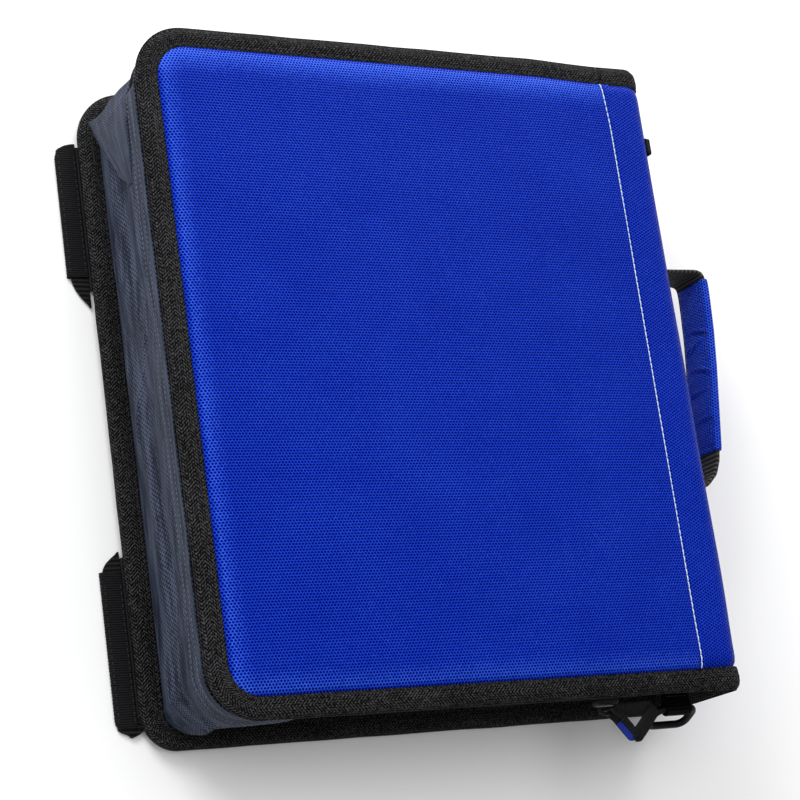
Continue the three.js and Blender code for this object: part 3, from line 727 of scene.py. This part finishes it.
def gusset_folds(grid_s, grid_z, flat, normal, hold, bottom_line):
    """How far the gusset's folds and tucked corners stand out from its plain curve."""
    at_top = flat[..., 1] > 0
    bend = 2 * np.minimum(abs(normal[..., 0]), abs(normal[..., 1]))
    push = -2.2 * smooth(bend, 0.1, 0.9) * smooth(grid_z, 12, 24) * (1 - smooth(grid_z, 44, 66)) * ~at_top
    tuck = smooth(bend, 0.02, 0.5) * smooth(grid_z, 10, 20) * (1 - smooth(grid_z, 69, ZIP_EDGE))
    push -= 6.5 * tuck * at_top
    pull = grid_z - 30 - 16 * np.sin(grid_s / 33 + 1) - 4 * np.sin(grid_s / 11)
    push += 0.9 * hump(pull, 1.8) * hold * smooth(np.sin(grid_s / 33 + 1.6), -0.2, 0.6)
    push -= 0.9 * hump(grid_z - 44 - 3 * np.sin(grid_s / 47), 6.0) * hold
    push += 0.7 * hump(grid_z - 55 - 2 * np.sin(grid_s / 39), 3.2) * hold
    nearest = np.argmin(np.hypot(bottom_line[:, 0] + 124.0, bottom_line[:, 1] + HALF_H))
    d = grid_s - grid_s[nearest, 0] - 0.10 * (grid_z - 10)
    fold = np.where(d < 0, hump(d, 1.5), np.exp(-d / 8.0))
    return push + 2.4 * fold * smooth(grid_z, 9, 14) * (1 - smooth(grid_z, 38, 60)) * ~at_top


def slanted_ends(flat, grid_z):
    """The gusset's two ends run up at a slant, so its straight stretches are drawn out to GREY_END."""
    slant = np.interp(grid_z, GREY_END[:, 1], GREY_END[:, 0])
    straight = LEFT + np.where(flat[..., 1] > 0, BACK_CORNERS[1], BACK_CORNERS[0])
    drawn = straight + (flat[..., 0] - straight) * (slant - straight) / (GREY_END_X - straight)
    return np.where(flat[..., 0] > straight, drawn, flat[..., 0])


def wall(name, node, bases, normals, s, material, seed, wrinkle, back=0.0):
    """A cloth wall between the back cover and the zipper. bases and normals are the outline's points and
    inward directions at the back cover and at the zipper."""
    grey = node == "side_gusset"
    z = np.concatenate([np.linspace(WALL_BASE - 0.1, 24, 12, endpoint=False), np.linspace(24, ZIP_EDGE, 42)])
    grid_s, grid_z = grid(s, z)
    share = smooth(grid_z, 12, 66)[..., None]
    flat = bases[0][:, None] * (1 - share) + bases[1][:, None] * share
    normal = normals[0][:, None] * (1 - share) + normals[1][:, None] * share
    normal = normal / np.linalg.norm(normal, axis=2, keepdims=True)
    inset = np.interp(grid_z, FACE[:, 1], FACE[:, 0]) + back
    hold = smooth(grid_z, WALL_BASE, WALL_BASE + 9) * smooth(ZIP_EDGE - grid_z, 6, 16)
    push = wrinkle * hold * ripple(grid_s, grid_z, seed, 150, 22, 14)
    push += 0.5 * wrinkle * hold * ripple(grid_s + grid_z * 1.2, grid_z, seed + 1, 46, 30, 10)
    if grey:
        push += gusset_folds(grid_s, grid_z, flat, normal, hold, bases[0])
        flat[..., 0] = slanted_ends(flat, grid_z)
    surface = np.concatenate([flat + normal * (inset - push)[..., None], grid_z[..., None]], 2)
    b = Builder().shell(surface, 0.8, s, lengths(join(np.interp(z, FACE[:, 1], FACE[:, 0]), z)))
    for height in STITCH_HEIGHTS if grey else ():
        j = int(np.argmin(abs(z - height)))
        away = join(-normal[:, j, 0], -normal[:, j, 1], 0.0)
        b.stitches(surface[:, j] + 0.85 * away, away, long=1.5, gap=1.0, radius=0.22, mat=1)
    obj = b.make(name, [material, GREY_THREAD], node, lift=True)


def corner_flap():
    """The gusset's spare cloth at the upper corner, folded down flat with a crisp free edge."""
    at, t = np.linspace(0, 1, 70)[:, None], np.linspace(0, 1, 22)[None]
    free = [(-140.2, 144.6, 17.3), (-139.6, 137.5, 20.5), (-139.8, 124.0, 29.4), (-140.6, 107.0, 44.5),
            (-140.6, 101.5, 48.5), (-139.9, 96.0, 56.0)]
    held = [(-136.8, 146.3, 64.0), (-139.6, 139.0, 61.5), (-140.4, 125.0, 59.5), (-140.2, 104.0, 58.5),
            (-139.8, 95.5, 57.5)]
    free, held = (pick(line, at[:, 0], shares(line)) for line in (resample(free, 2.0), resample(held, 2.0)))
    surface = free[:, None] * (1 - t[..., None]) + held[:, None] * t[..., None]
    surface[..., 0] -= 0.9 * (1 - t) ** 0.5 + 0.35 * ripple(at * 60, t * 40, 61, 60, 12) * np.sin(math.pi * t)
    surface[..., 1] -= 2.4 * hump(at, 0.06) * np.sin(math.pi * np.clip(t * 2.2, 0, 1))
    b = Builder().shell(surface, 0.8, at[:, 0] * 62, t[0] * 48)
    obj = b.make("gusset_corner_flap", GREY_FOLD_LIT, body="back_cover", slot="grey_nylon", lift=True)


def walls():
    low, high = (outline(GREY_END_X, 1.5, 22, corners) for corners in (BACK_CORNERS, FRONT_CORNERS))
    wall("grey_side_gusset", "side_gusset", (low[0], high[0]), (low[1], high[1]), high[2], GREY, 31, 1.0)
    corner_flap()
    for side, name, node in ((-1, "black_bottom_wall", "bottom_wall"), (1, "black_top_wall", "top_wall")):
        base = join(np.linspace(-118.0, WALL_END_X, 96)[::-side], side * HALF_H)
        normal = np.broadcast_to((0.0, -side), base.shape)
        wall(name, node, (base, base), (normal, normal), lengths(base), WALL_IN_SHADE, 41 + side, 0.5, back=1.2)


def zipper_tape(name, node, end_x, low, high):
    base, normal, s = outline(end_x, 3, 16)
    z = np.linspace(low, high, 8)
    surface = band(base, normal, join(ZIP_INSET + 1.0 + 0.3 * np.sin((z - low) / (high - low) * math.pi), z))
    surface[..., 2] += 0.15 * ripple(s, 0 * s, 8, 50, 50)[:, None]
    Builder().shell(surface, 0.8, s, z - low).make(name, TAB_IN_SHADE, node, lift=True)


def zipper_teeth(name, node, end_x, side):
    """One half of the coil: a thread wound in a narrow loop, turn after turn."""
    base, normal, s = outline(end_x, 3, 16)
    pitch, per_turn = 1.5, 7
    count = int(s[-1] / pitch * per_turn)
    at = np.linspace(0.5, s[-1] - 0.5, count)
    turn = np.arange(count) * 2 * math.pi / per_turn
    inward = pick(normal, at, s)
    flat = pick(base, at, s) + inward * (ZIP_INSET + 0.1 + 0.5 * np.cos(turn))[:, None]
    path = join(flat[:, 0], flat[:, 1], ZIP_Z - side * (0.75 * np.sin(turn) - 0.62))
    up = np.cross(np.gradient(path, axis=0), join(inward[:, 0], inward[:, 1], 0.0))
    Builder().tube(path, 0.3, sides=4, up=up).make(name, COIL, node, lift=True)


# ---------- linings ----------
def liner(name, node, lift):
    """A lining sheet pulled over the board, a little slack in the middle."""
    low, high = box_mm(node)
    x = np.linspace(low[0] + 0.2, high[0], 60)
    y = np.linspace(low[1] + 0.2, high[1] - 0.2, 76)
    grid_x, grid_y = grid(x, y)
    r = 9.0
    corner_x = np.clip(low[0] + r - grid_x, 0, None)
    corner_y = np.clip(abs(grid_y) - (high[1] - r), 0, None)
    cut = np.hypot(corner_x, corner_y)
    shrink = np.where(cut > r, r / np.maximum(cut, 1e-6), 1)
    grid_x = np.where(corner_x > 0, low[0] + r - corner_x * shrink, grid_x)
    grid_y = np.where(corner_y > 0, np.sign(grid_y) * (high[1] - r + corner_y * shrink), grid_y)
    near = np.minimum(np.minimum(grid_x - low[0], high[0] - grid_x), high[1] - abs(grid_y))
    slack = 0.35 * ripple(grid_x, grid_y, 51, 90, 120) * smooth(near, 3, 30)
    surface = join(grid_x, grid_y, (high[2] if lift > 0 else low[2]) + lift * (slack * 0.6 + 0.15))
    b = Builder().shell(surface[:, ::-1] if lift > 0 else surface, 1.0, x, y)
    obj = b.make(name, LINER, node, lift=lift < 0)


def spine_liner():
    low, high = box_mm("spine_liner")
    line = resample([[low[0] + 14.6, low[2]], [low[0] + 14.6, 77.7], [low[0], 77.7]], 3)
    ys = np.linspace(low[1], high[1], 80)[::-1]
    b = Builder().shell(at_y(line, ys[:, None]), 1.0, ys, lengths(line))
    obj = b.make("spine_lining", LINER, "spine_liner")


# ---------- handle ----------
def handle():
    """A flat strap sewn to the spine at both ends, leaning out to the upper end, with a padded sleeve."""
    low, high = box_mm("handle_webbing")
    top_end, bottom_end = box_mm("handle_anchor_top")[1][1], box_mm("handle_anchor_bottom")[0][1]
    z = (low[2] + high[2]) / 2
    face, reach = SPINE_FACE + 1.2, high[0] - 2.0
    top, bottom = high[1] + 1.4, low[1]
    line = [(face, top_end), (face, top + 5.5), (face + 0.8, top + 2.2), (face + 3.4, top + 0.3),
            (face + 10, top - 0.2), (reach - 4, top + 0.3), (reach - 1.0, top - 0.4),
            (reach + 0.3, top - 2.4), (reach + 0.5, 55.0),
            (reach + 0.1, 46.0), (reach - 1.0, 29.5), (reach - 3.2, 10.0),
            (reach - 5.9, -9.3), (reach - 9.4, -33.9), (reach - 11.0, -42.0), (reach - 14.2, -49.3),
            (reach - 20.4, -55.0), (reach - 28.5, bottom - 0.4), (face + 3.0, bottom - 2.4),
            (face + 0.6, bottom - 5.0), (face, bottom - 8.5), (face, bottom_end)]
    flat = resample(line, 1.2)
    for _ in range(2):
        flat[1:-1] = (flat[:-2] + 2 * flat[1:-1] + flat[2:]) / 4
    b = Builder().strap(join(flat[:, 0], flat[:, 1], z), strap_section(high[2] - low[2], 1.9), (0, 0, 1))
    for start, end in ((top_end - 1.5, top + 7), (bottom_end + 1.5, bottom - 9)):
        for off in (-9.5, 0, 9.5):
            row = join(face + 1.0, np.linspace(start, end, 8), z + off)
            b.stitches(row, (1, 0, 0), long=2.0, gap=0.8, radius=0.3, mat=1)
    strap = b.make("handle_strap", [STRAP, BLACK_THREAD], "handle_webbing", "handle_anchor_top",
                   "handle_anchor_bottom", blended=True)
    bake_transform(strap)
    handle_sleeve(flat, z)


# Each crease of the sleeve: place along it, skew, depth and the side of the sleeve that it reaches to.
CREASES = ((0.27, 0.22, 1.0, 1), (0.35, -0.25, 0.8, -1), (0.50, 0.2, 1.1, 1), (0.63, 0.05, 0.7, -1),
           (0.80, -0.12, 0.6, 1))


def handle_sleeve(flat, z):
    """Blue cloth wrapped round the strap, creased where it is gripped, with a seam along one side."""
    low, high = box_mm("handle_sleeve")
    centre = np.array([p for p in resample(flat, 0.8) if p[0] > 165 and low[1] - 0.5 < p[1] < high[1] + 7])
    path = join(centre[:, 0], centre[:, 1], z + 1.4)
    s = lengths(path)
    thick, wide = 2.3, 12.0
    shape = strap_section(2 * wide, 2 * thick, 5, 24)
    outward_x, across = np.sign(shape[:, 0]) * (abs(shape[:, 0]) / thick) ** 0.5, shape[:, 1]
    seam = 0.8 * hump(across - wide + 5.2, 0.6)
    sections = []
    for here in s:
        from_end = min(here, s[-1] - here)
        hem = 1 - 0.16 * hump(from_end, 0.5)
        puff = 0.25 * math.sin(here / 5.3) + 0.2 * math.sin(here / 2.7 + 1) - 0.3 * hump(from_end - 3.2, 0.6)
        for place, skew, deep, side in CREASES:
            d = here - s[-1] * place - skew * across - 0.012 * across ** 2
            reach = 1 / (1 + np.exp(-(side * across + 3) / 3))
            puff = puff + deep * reach * (1.5 * hump(d, 0.8) - 1.0 * hump(d - 1.9, 1.1))
        section = shape * [hem, 0.985 + 0.015 * hem]
        section[:, 0] += outward_x * (puff - seam) * np.clip((wide - 1.2 - abs(across)) / 3, 0, 1)
        sections.append(section)
    b = Builder().rings(sweep(path, sections, (0, 0, 1)), s, lengths(shape, True))
    for sign in (1, -1):
        row = path + np.array([sign * (thick + 0.3), 0, wide - 3.6])
        b.stitches(row[5:-5], (sign, 0, 0), long=1.8, gap=0.9, radius=0.22, mat=1)
    b.make("handle_sleeve_cloth", [BLUE_SLEEVE_LIT, BLUE_THREAD], "handle_sleeve")


# ---------- strap rings and edge loops ----------
LOWER_RING_HANG = math.radians(65)  # how far below level the lower ring points


def strap_ring(word, side):
    """A rounded wire ring and the folded tab of webbing that holds it."""
    tab_low, tab_high = box_mm(f"{word}_ring_tab")
    x, z = (tab_low[0] + tab_high[0]) / 2, (tab_low[2] + tab_high[2]) / 2
    eye_y = (tab_high[1] - 3.4) if side > 0 else (tab_low[1] + 3.4)
    loop = resample(chain(rounded_rect(-11.5, 11.5, 0, 14.4, 4.6, 8), (11.5 - 4.6, 0)), 1.0)[:-1]
    hang = (0.0, -1.0) if side > 0 else (-math.cos(LOWER_RING_HANG), -math.sin(LOWER_RING_HANG))
    path = join(x + loop[:, 0], eye_y + loop[:, 1] * hang[0], z + loop[:, 1] * hang[1])
    b = Builder().tube(path, 1.95, 18, closed=True, up=(0, -hang[1], hang[0]))
    b.make(f"{word}_ring_rod", BLACK_METAL, f"{word}_strap_ring")
    wall_y = tab_low[1] if side > 0 else tab_high[1]
    reach = abs(eye_y - wall_y)
    half = np.array([(0, 0.95), (reach * 0.45, 0.95), (reach - 4.2, 1.1), (reach - 2.4, 2.2)])
    line = resample(chain(half, arc(reach, 0, 2.9, 130, -130, 16), half[::-1] * [1, -1]), 0.8)
    path = join(x, wall_y + side * line[:, 0], z + line[:, 1])
    b = Builder().strap(path, strap_section(15, 1.3, 2, 6), (1, 0, 0))
    for row_y in (1.6, 4.0):
        row = join(np.linspace(x - 6, x + 6, 6), wall_y + side * row_y, z + 1.6)
        b.stitches(row, (0, 0, 1), long=1.7, gap=0.6, radius=0.25, mat=1)
    b.make(f"{word}_ring_webbing", [TAB_IN_SHADE, BLACK_THREAD], f"{word}_ring_tab")


def flat_strip(ys, outer, inner, low, high, serrate=0.0, recess=False):
    """A flat strip beside the back cover: for each y it reaches from x = outer to x = inner."""
    rings = []
    for i, y in enumerate(ys):
        section = rounded_rect(outer[i] - serrate * (i % 2), inner[i], low, high + 0.1 * math.sin(y / 5.1),
                               (high - low) * 0.42, 4)
        rings.append(at_y(section, y))
    if recess:
        for end, step in ((0, 1), (-1, -1)):
            middle = rings[end].mean(0)
            shrunk = middle + (rings[end] - middle) * [0.93, 1, 0.5]
            deep = shrunk + [0, step * 3.0, 0]
            rings = [deep, shrunk] + rings if end == 0 else rings + [shrunk, deep]
    travel = np.cumsum(abs(np.diff([ring[0, 1] for ring in rings], prepend=rings[0][0, 1])))
    return Builder().rings(rings, travel, lengths(rings[len(rings) // 2][:, [0, 2]], True))


def edge_loop(word, sleeve_ends, top_round, bottom_round, bare_ends):
    """A wide strap loop along the back cover's edge: bare webbing at its ends and a ribbed sleeve between."""
    out, root = box_mm(f"{word}_edge_loop_webbing")[0][0] + 0.8, LEFT - 0.2
    (y0, y1), (start, end) = sleeve_ends, bare_ends
    ys = np.linspace(start, end, 70)
    drop_at, drop = np.array([(0.0, 0.0), (0.12, 1.8), (0.3, 4.2), (0.55, 6.8), (0.8, 8.4), (1.0, 9.0)]).T
    outer = np.full(len(ys), out)
    for edge, span, sign in ((start, bottom_round, 1), (end, top_round, -1)):
        from_edge = sign * (ys - edge) / span
        outer = np.maximum(outer, LEFT - 0.4 - np.interp(from_edge, drop_at, drop) - 1.6 * (from_edge >= 1))
    inner = np.full(len(ys), root)
    if word == "lower":
        inner = np.interp(ys, start + np.array([0, 1.5, 4.6, 9, 16]), [-146.0, -142.0, -138.5, -139.5, root])
    b = flat_strip(ys, np.minimum(outer, inner - 1.0), inner, 0.7, 2.1)
    b.make(f"{word}_loop_strap", WEBBING, f"{word}_edge_loop_webbing")
    ys = np.linspace(y0, y1, 90)
    x0 = out - 0.9
    rounding, to_end = (8.5, y1 - ys) if word == "upper" else (4.0, ys - y0)
    from_top = np.clip(rounding - to_end, 0, rounding)
    outer = x0 + rounding - np.sqrt(np.maximum(rounding ** 2 - from_top ** 2, 0.04))
    b = flat_strip(ys, outer, np.full(len(ys), root), 0.25, 2.9, serrate=0.22, recess=True)
    for x in (x0 + 1.3, root - 1.4):
        row = join(x, np.linspace(ys[3], ys[-8], 20), 2.95)
        b.stitches(row, (0, 0, 1), long=1.9, gap=1.1, radius=0.2, mat=1)
    b.make(f"{word}_loop_sleeve", [FINE_RIB, BLACK_THREAD], f"{word}_edge_loop_sleeve")
    a_low, a_high = box_mm(f"{word}_edge_loop_anchor")
    xs, ys = np.linspace(root + 0.2, a_high[0] - 0.5, 8), np.linspace(a_low[1], a_high[1], 40)
    gx, gy = grid(xs, ys)
    b = Builder().shell(join(gx, gy, 2.3 + 0.1 * ripple(gx, gy, 4, 20, 20)), 1.4, xs, ys)
    b.make(f"{word}_loop_root", WEBBING, f"{word}_edge_loop_anchor")


# ---------- ring mechanism ----------
def ring_halves():
    for word, side in (("front", 1), ("back", -1)):
        for place in ("bottom", "middle", "top"):
            node = f"ring_half_{word}_{place}"
            low, high = box_mm(node)
            centre_x, centre_z, radius = low[0] + 1.6 + 22.5, 45.0, 22.5
            line = chain((high[0] - 0.2, centre_z + side * 3.2),
                         arc(centre_x, centre_z, radius, side * 8, side * 179.2, 48))
            path = at_y(line, (low[1] + high[1]) / 2)
            Builder().tube(path, 1.6, 20, up=(0, 1, 0)).make(f"ring_{word}_{place}", NICKEL, node)


# ---------- zipper slider and pull ----------
def slider():
    low, high = box_mm("zipper_slider")
    cx, cz = (low[0] + high[0]) / 2, (low[2] + high[2]) / 2
    face = high[1]
    half = np.array([(-6.2, -2.6), (-5.0, -4.0), (1.0, -4.2), (4.6, -3.0), (6.2, -2.2)])
    shape = resample(chain(half, half[::-1] * [1, -1], half[:1]), 0.7)[:-1]
    layers = ((0.0, 0.94), (0.25, 1.0), (1.3, 1.0), (2.1, 0.95), (2.5, 0.86), (2.75, 0.7), (2.8, 0.4))
    rings = [join(cx + shape[:, 0] * size, face - depth, cz + shape[:, 1] * size) for depth, size in layers]
    b = Builder().rings(rings, [-ring[0][1] for ring in rings], lengths(shape, True))
    b.make("slider_body", BLACK_METAL, "zipper_slider", angle=35)
    top = arc(0, 0, 1, 0, 180, 16)
    path = join(cx + 4.4 * top[:, 0], box_mm("slider_bail")[1][1] - 0.6 - 3.2 * top[:, 1], cz)
    Builder().tube(path, 0.85, 12, up=(0, 0, 1)).make("slider_bridge", BLACK_METAL, "slider_bail")
    turn = Matrix.Rotation(math.radians(50), 4, "Z")
    pivot = Vector((cx, face - 4.7, cz))
    frame_line = chain(rounded_rect(-8.5, 0, -3.6, 3.6, 1.6, 5), (-1.6, -3.6))
    frame_line = resample(frame_line, 0.6)[:-1]
    path = np.array([(turn @ Vector((0, y, z))) + pivot for y, z in frame_line])
    b = Builder().tube(path, 0.75, 12, closed=True, up=turn @ Vector((1, 0, 0)))
    b.make("pull_frame", BLACK_METAL, "zipper_pull")
    pull_ribbon(cz)


def pull_ribbon(z):
    """A flat ribbon, black with a blue stripe on one face, folded into a V and joined across the top."""
    low, high = box_mm("pull_ribbon")
    left = np.array([low[0] + 0.2, high[1] - 0.2, z])
    tip = np.array([82.0, low[1] + 0.6, z])
    right = np.array([high[0] + 0.6, high[1] + 0.8, z])
    face = Vector((-0.35, -0.45, 0.82)).normalized()
    width, thick, count = 6.6, 0.8, 24
    b = Builder()

    def strand(start, end, shift, stripe):
        along = Vector(end - start).normalized()
        across = np.array(face.cross(along).normalized())
        out = np.array(along.cross(Vector(across)).normalized())
        if np.dot(out, face) < 0:
            out = -out
        t = np.linspace(0, 1, count)[:, None]
        middle = start + (end - start) * t + out * (shift + 0.5 * np.sin(t * math.pi))
        side = np.array([-1, -0.5, 0.1, 0.9, 0.95, 1]) * width / 2
        if across[1] > 0:
            side = -side[::-1]
        bow = 0.25 * (1 - (side / (width / 2)) ** 2)
        s = lengths(middle)
        from_tip = np.minimum(s[-1] - s, 40) if stripe else s
        narrow = np.sqrt(np.clip(1 - (1 - np.clip(from_tip / 3.0, 0.02, 1)) ** 2, 0.05, 1))[:, None, None]
        surface = (middle[:, None] + across[None, None] * side[None, :, None] * narrow
                   + out[None, None] * bow[None, :, None])
        b.shell(surface if stripe else surface[:, ::-1], thick, s, side - side[0])
        if stripe:  # along the third column of faces, from the eighth row on
            columns = len(side) - 1
            for k in range(2 * (count - 1) * columns):
                row, column = divmod(k // 2, columns)
                b.mats[k] = int(column == 2 and row >= 7)

    strand(left, tip + (tip - left) * 0.04, 0.0, True)
    strand(tip + (tip - right) * 0.04, right, -0.9, False)
    strand(right + [-1.5, 0.4, 0], left + [0.5, 0.4, 0], -1.8, False)
    b.make("pull_ribbon_cloth", [FINE_RIB, BLUE_RIBBON], "pull_ribbon")


# ---------- carried-over parts ----------
def keep_nodes():
    """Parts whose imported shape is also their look."""
    steel = ("ring_plate", "ring_blade_front", "ring_blade_back", "upper_trigger", "lower_trigger")
    kept = {STEEL: steel, NICKEL: ("plate_rivet_top", "plate_rivet_bottom"),
            BOARD: ("back_board", "spine_board")}
    for material, nodes in kept.items():
        for node in nodes:
            materials = frame["nodes"][node].data.materials
            materials.clear()
            materials.append(material)


# ---------- stage ----------
def link(obj):
    bpy.context.scene.collection.objects.link(obj)
    return obj


def stage():
    mesh = bpy.data.meshes.new("floor")
    half = 3.0
    corners = [(-half, -half, 0), (half, -half, 0), (half, half, 0), (-half, half, 0)]
    mesh.from_pydata(corners, [], [(0, 1, 2, 3)])
    mesh.materials.append(Shader("floor_paper").finish((0.96, 0.96, 0.96, 1), 0.95))
    floor = link(bpy.data.objects.new("floor", mesh))
    floor.location.z = -0.0002
    lights = (("key", (-0.95, 1.15, 1.1), (0, 0, 0.05), (0.8, 0.8), 19),
              ("back", (0.6, 1.4, 0.42), (0, 0.1, 0.08), (1.1, 0.4), 17),
              ("side", (-1.5, 0.3, 0.7), (0, 0, 0.05), (1.0, 1.0), 4),
              ("top", (-0.3, 0.1, 1.8), (0.1, 0, 0), (1.1, 1.1), 13))
    for name, place, target, size, power in lights:
        light = bpy.data.lights.new(name, "AREA")
        light.shape = "RECTANGLE"
        light.size, light.size_y = size
        light.energy = power
        obj = link(bpy.data.objects.new(name, light))
        obj.location = place
        obj.rotation_euler = (Vector(target) - Vector(place)).to_track_quat("-Z", "Y").to_euler()
    world = bpy.data.worlds.new("studio")
    world.use_nodes = True
    background = world.node_tree.nodes["Background"]
    background.inputs[0].default_value = (1, 1, 1, 1)
    background.inputs[1].default_value = 0.42
    bpy.context.scene.world = world
    bpy.context.scene.view_settings.view_transform = "Standard"


def camera():
    """The main view: from the opening side and the bottom edge, high up, with a little roll."""
    data = bpy.data.cameras.new("camera")
    data.lens = 106.8
    data.sensor_width = 36
    data.clip_end = 20
    cam = link(bpy.data.objects.new("camera", data))
    right = Vector((0.8755, -0.1368, 0.4634)).normalized()
    back = Vector((-0.4831, -0.2526, 0.8383)).normalized()
    up = back.cross(right).normalized()
    turn = Matrix((up.cross(back), up, back)).transposed().to_4x4()
    cam.matrix_world = Matrix.Translation((-0.5698, -0.3018, 1.0265)) @ turn
    bpy.context.scene.camera = cam


camera()
stage()
keep_nodes()
cover_panel("front_cloth", "front_panel", HINGE_X - 0.25, 1, 0.35, FRONT_CORNERS)
cover_panel("back_cloth", "back_panel", BACK_HI[0] - 0.2, -1, 0.0, BACK_CORNERS)
front_board()
cover_binding("front_cover_binding", "front_binding", *FRONT_TAPE, HINGE_X - 0.3, FRONT_CORNERS, lift=True)
cover_binding("back_cover_binding", "back_binding", *BACK_TAPE, BACK_HI[0], BACK_CORNERS)
spine_binding("spine_binding_top", 1, "spine_top_binding")
spine_binding("spine_binding_bottom", -1, "spine_bottom_binding")
spine_panel()
spine_tab()
hinge_strips()
fold_stitches()
walls()
zipper_tape("zipper_tape_lower", "lower_zipper_tape", WALL_END_X, 65, ZIP_Z - 0.4)
zipper_tape("zipper_tape_upper", "upper_zipper_tape", HINGE_X - 0.4, ZIP_Z + 0.4, 79.4)
zipper_teeth("zipper_teeth_lower", "lower_zipper_coil", WALL_END_X, 1)
zipper_teeth("zipper_teeth_upper", "upper_zipper_coil", HINGE_X - 0.4, -1)
liner("back_lining", "back_liner", 1)
liner("front_lining", "front_liner", -1)
spine_liner()
handle()
strap_ring("upper", 1)
strap_ring("lower", -1)
edge_loop("upper", (68.5, 138.4), 3.0, 15.0, (53.5, 138.8))
edge_loop("lower", (-153.0, -78.5), 9.5, 3.5, (-157.0, -68.6))
ring_halves()
slider()
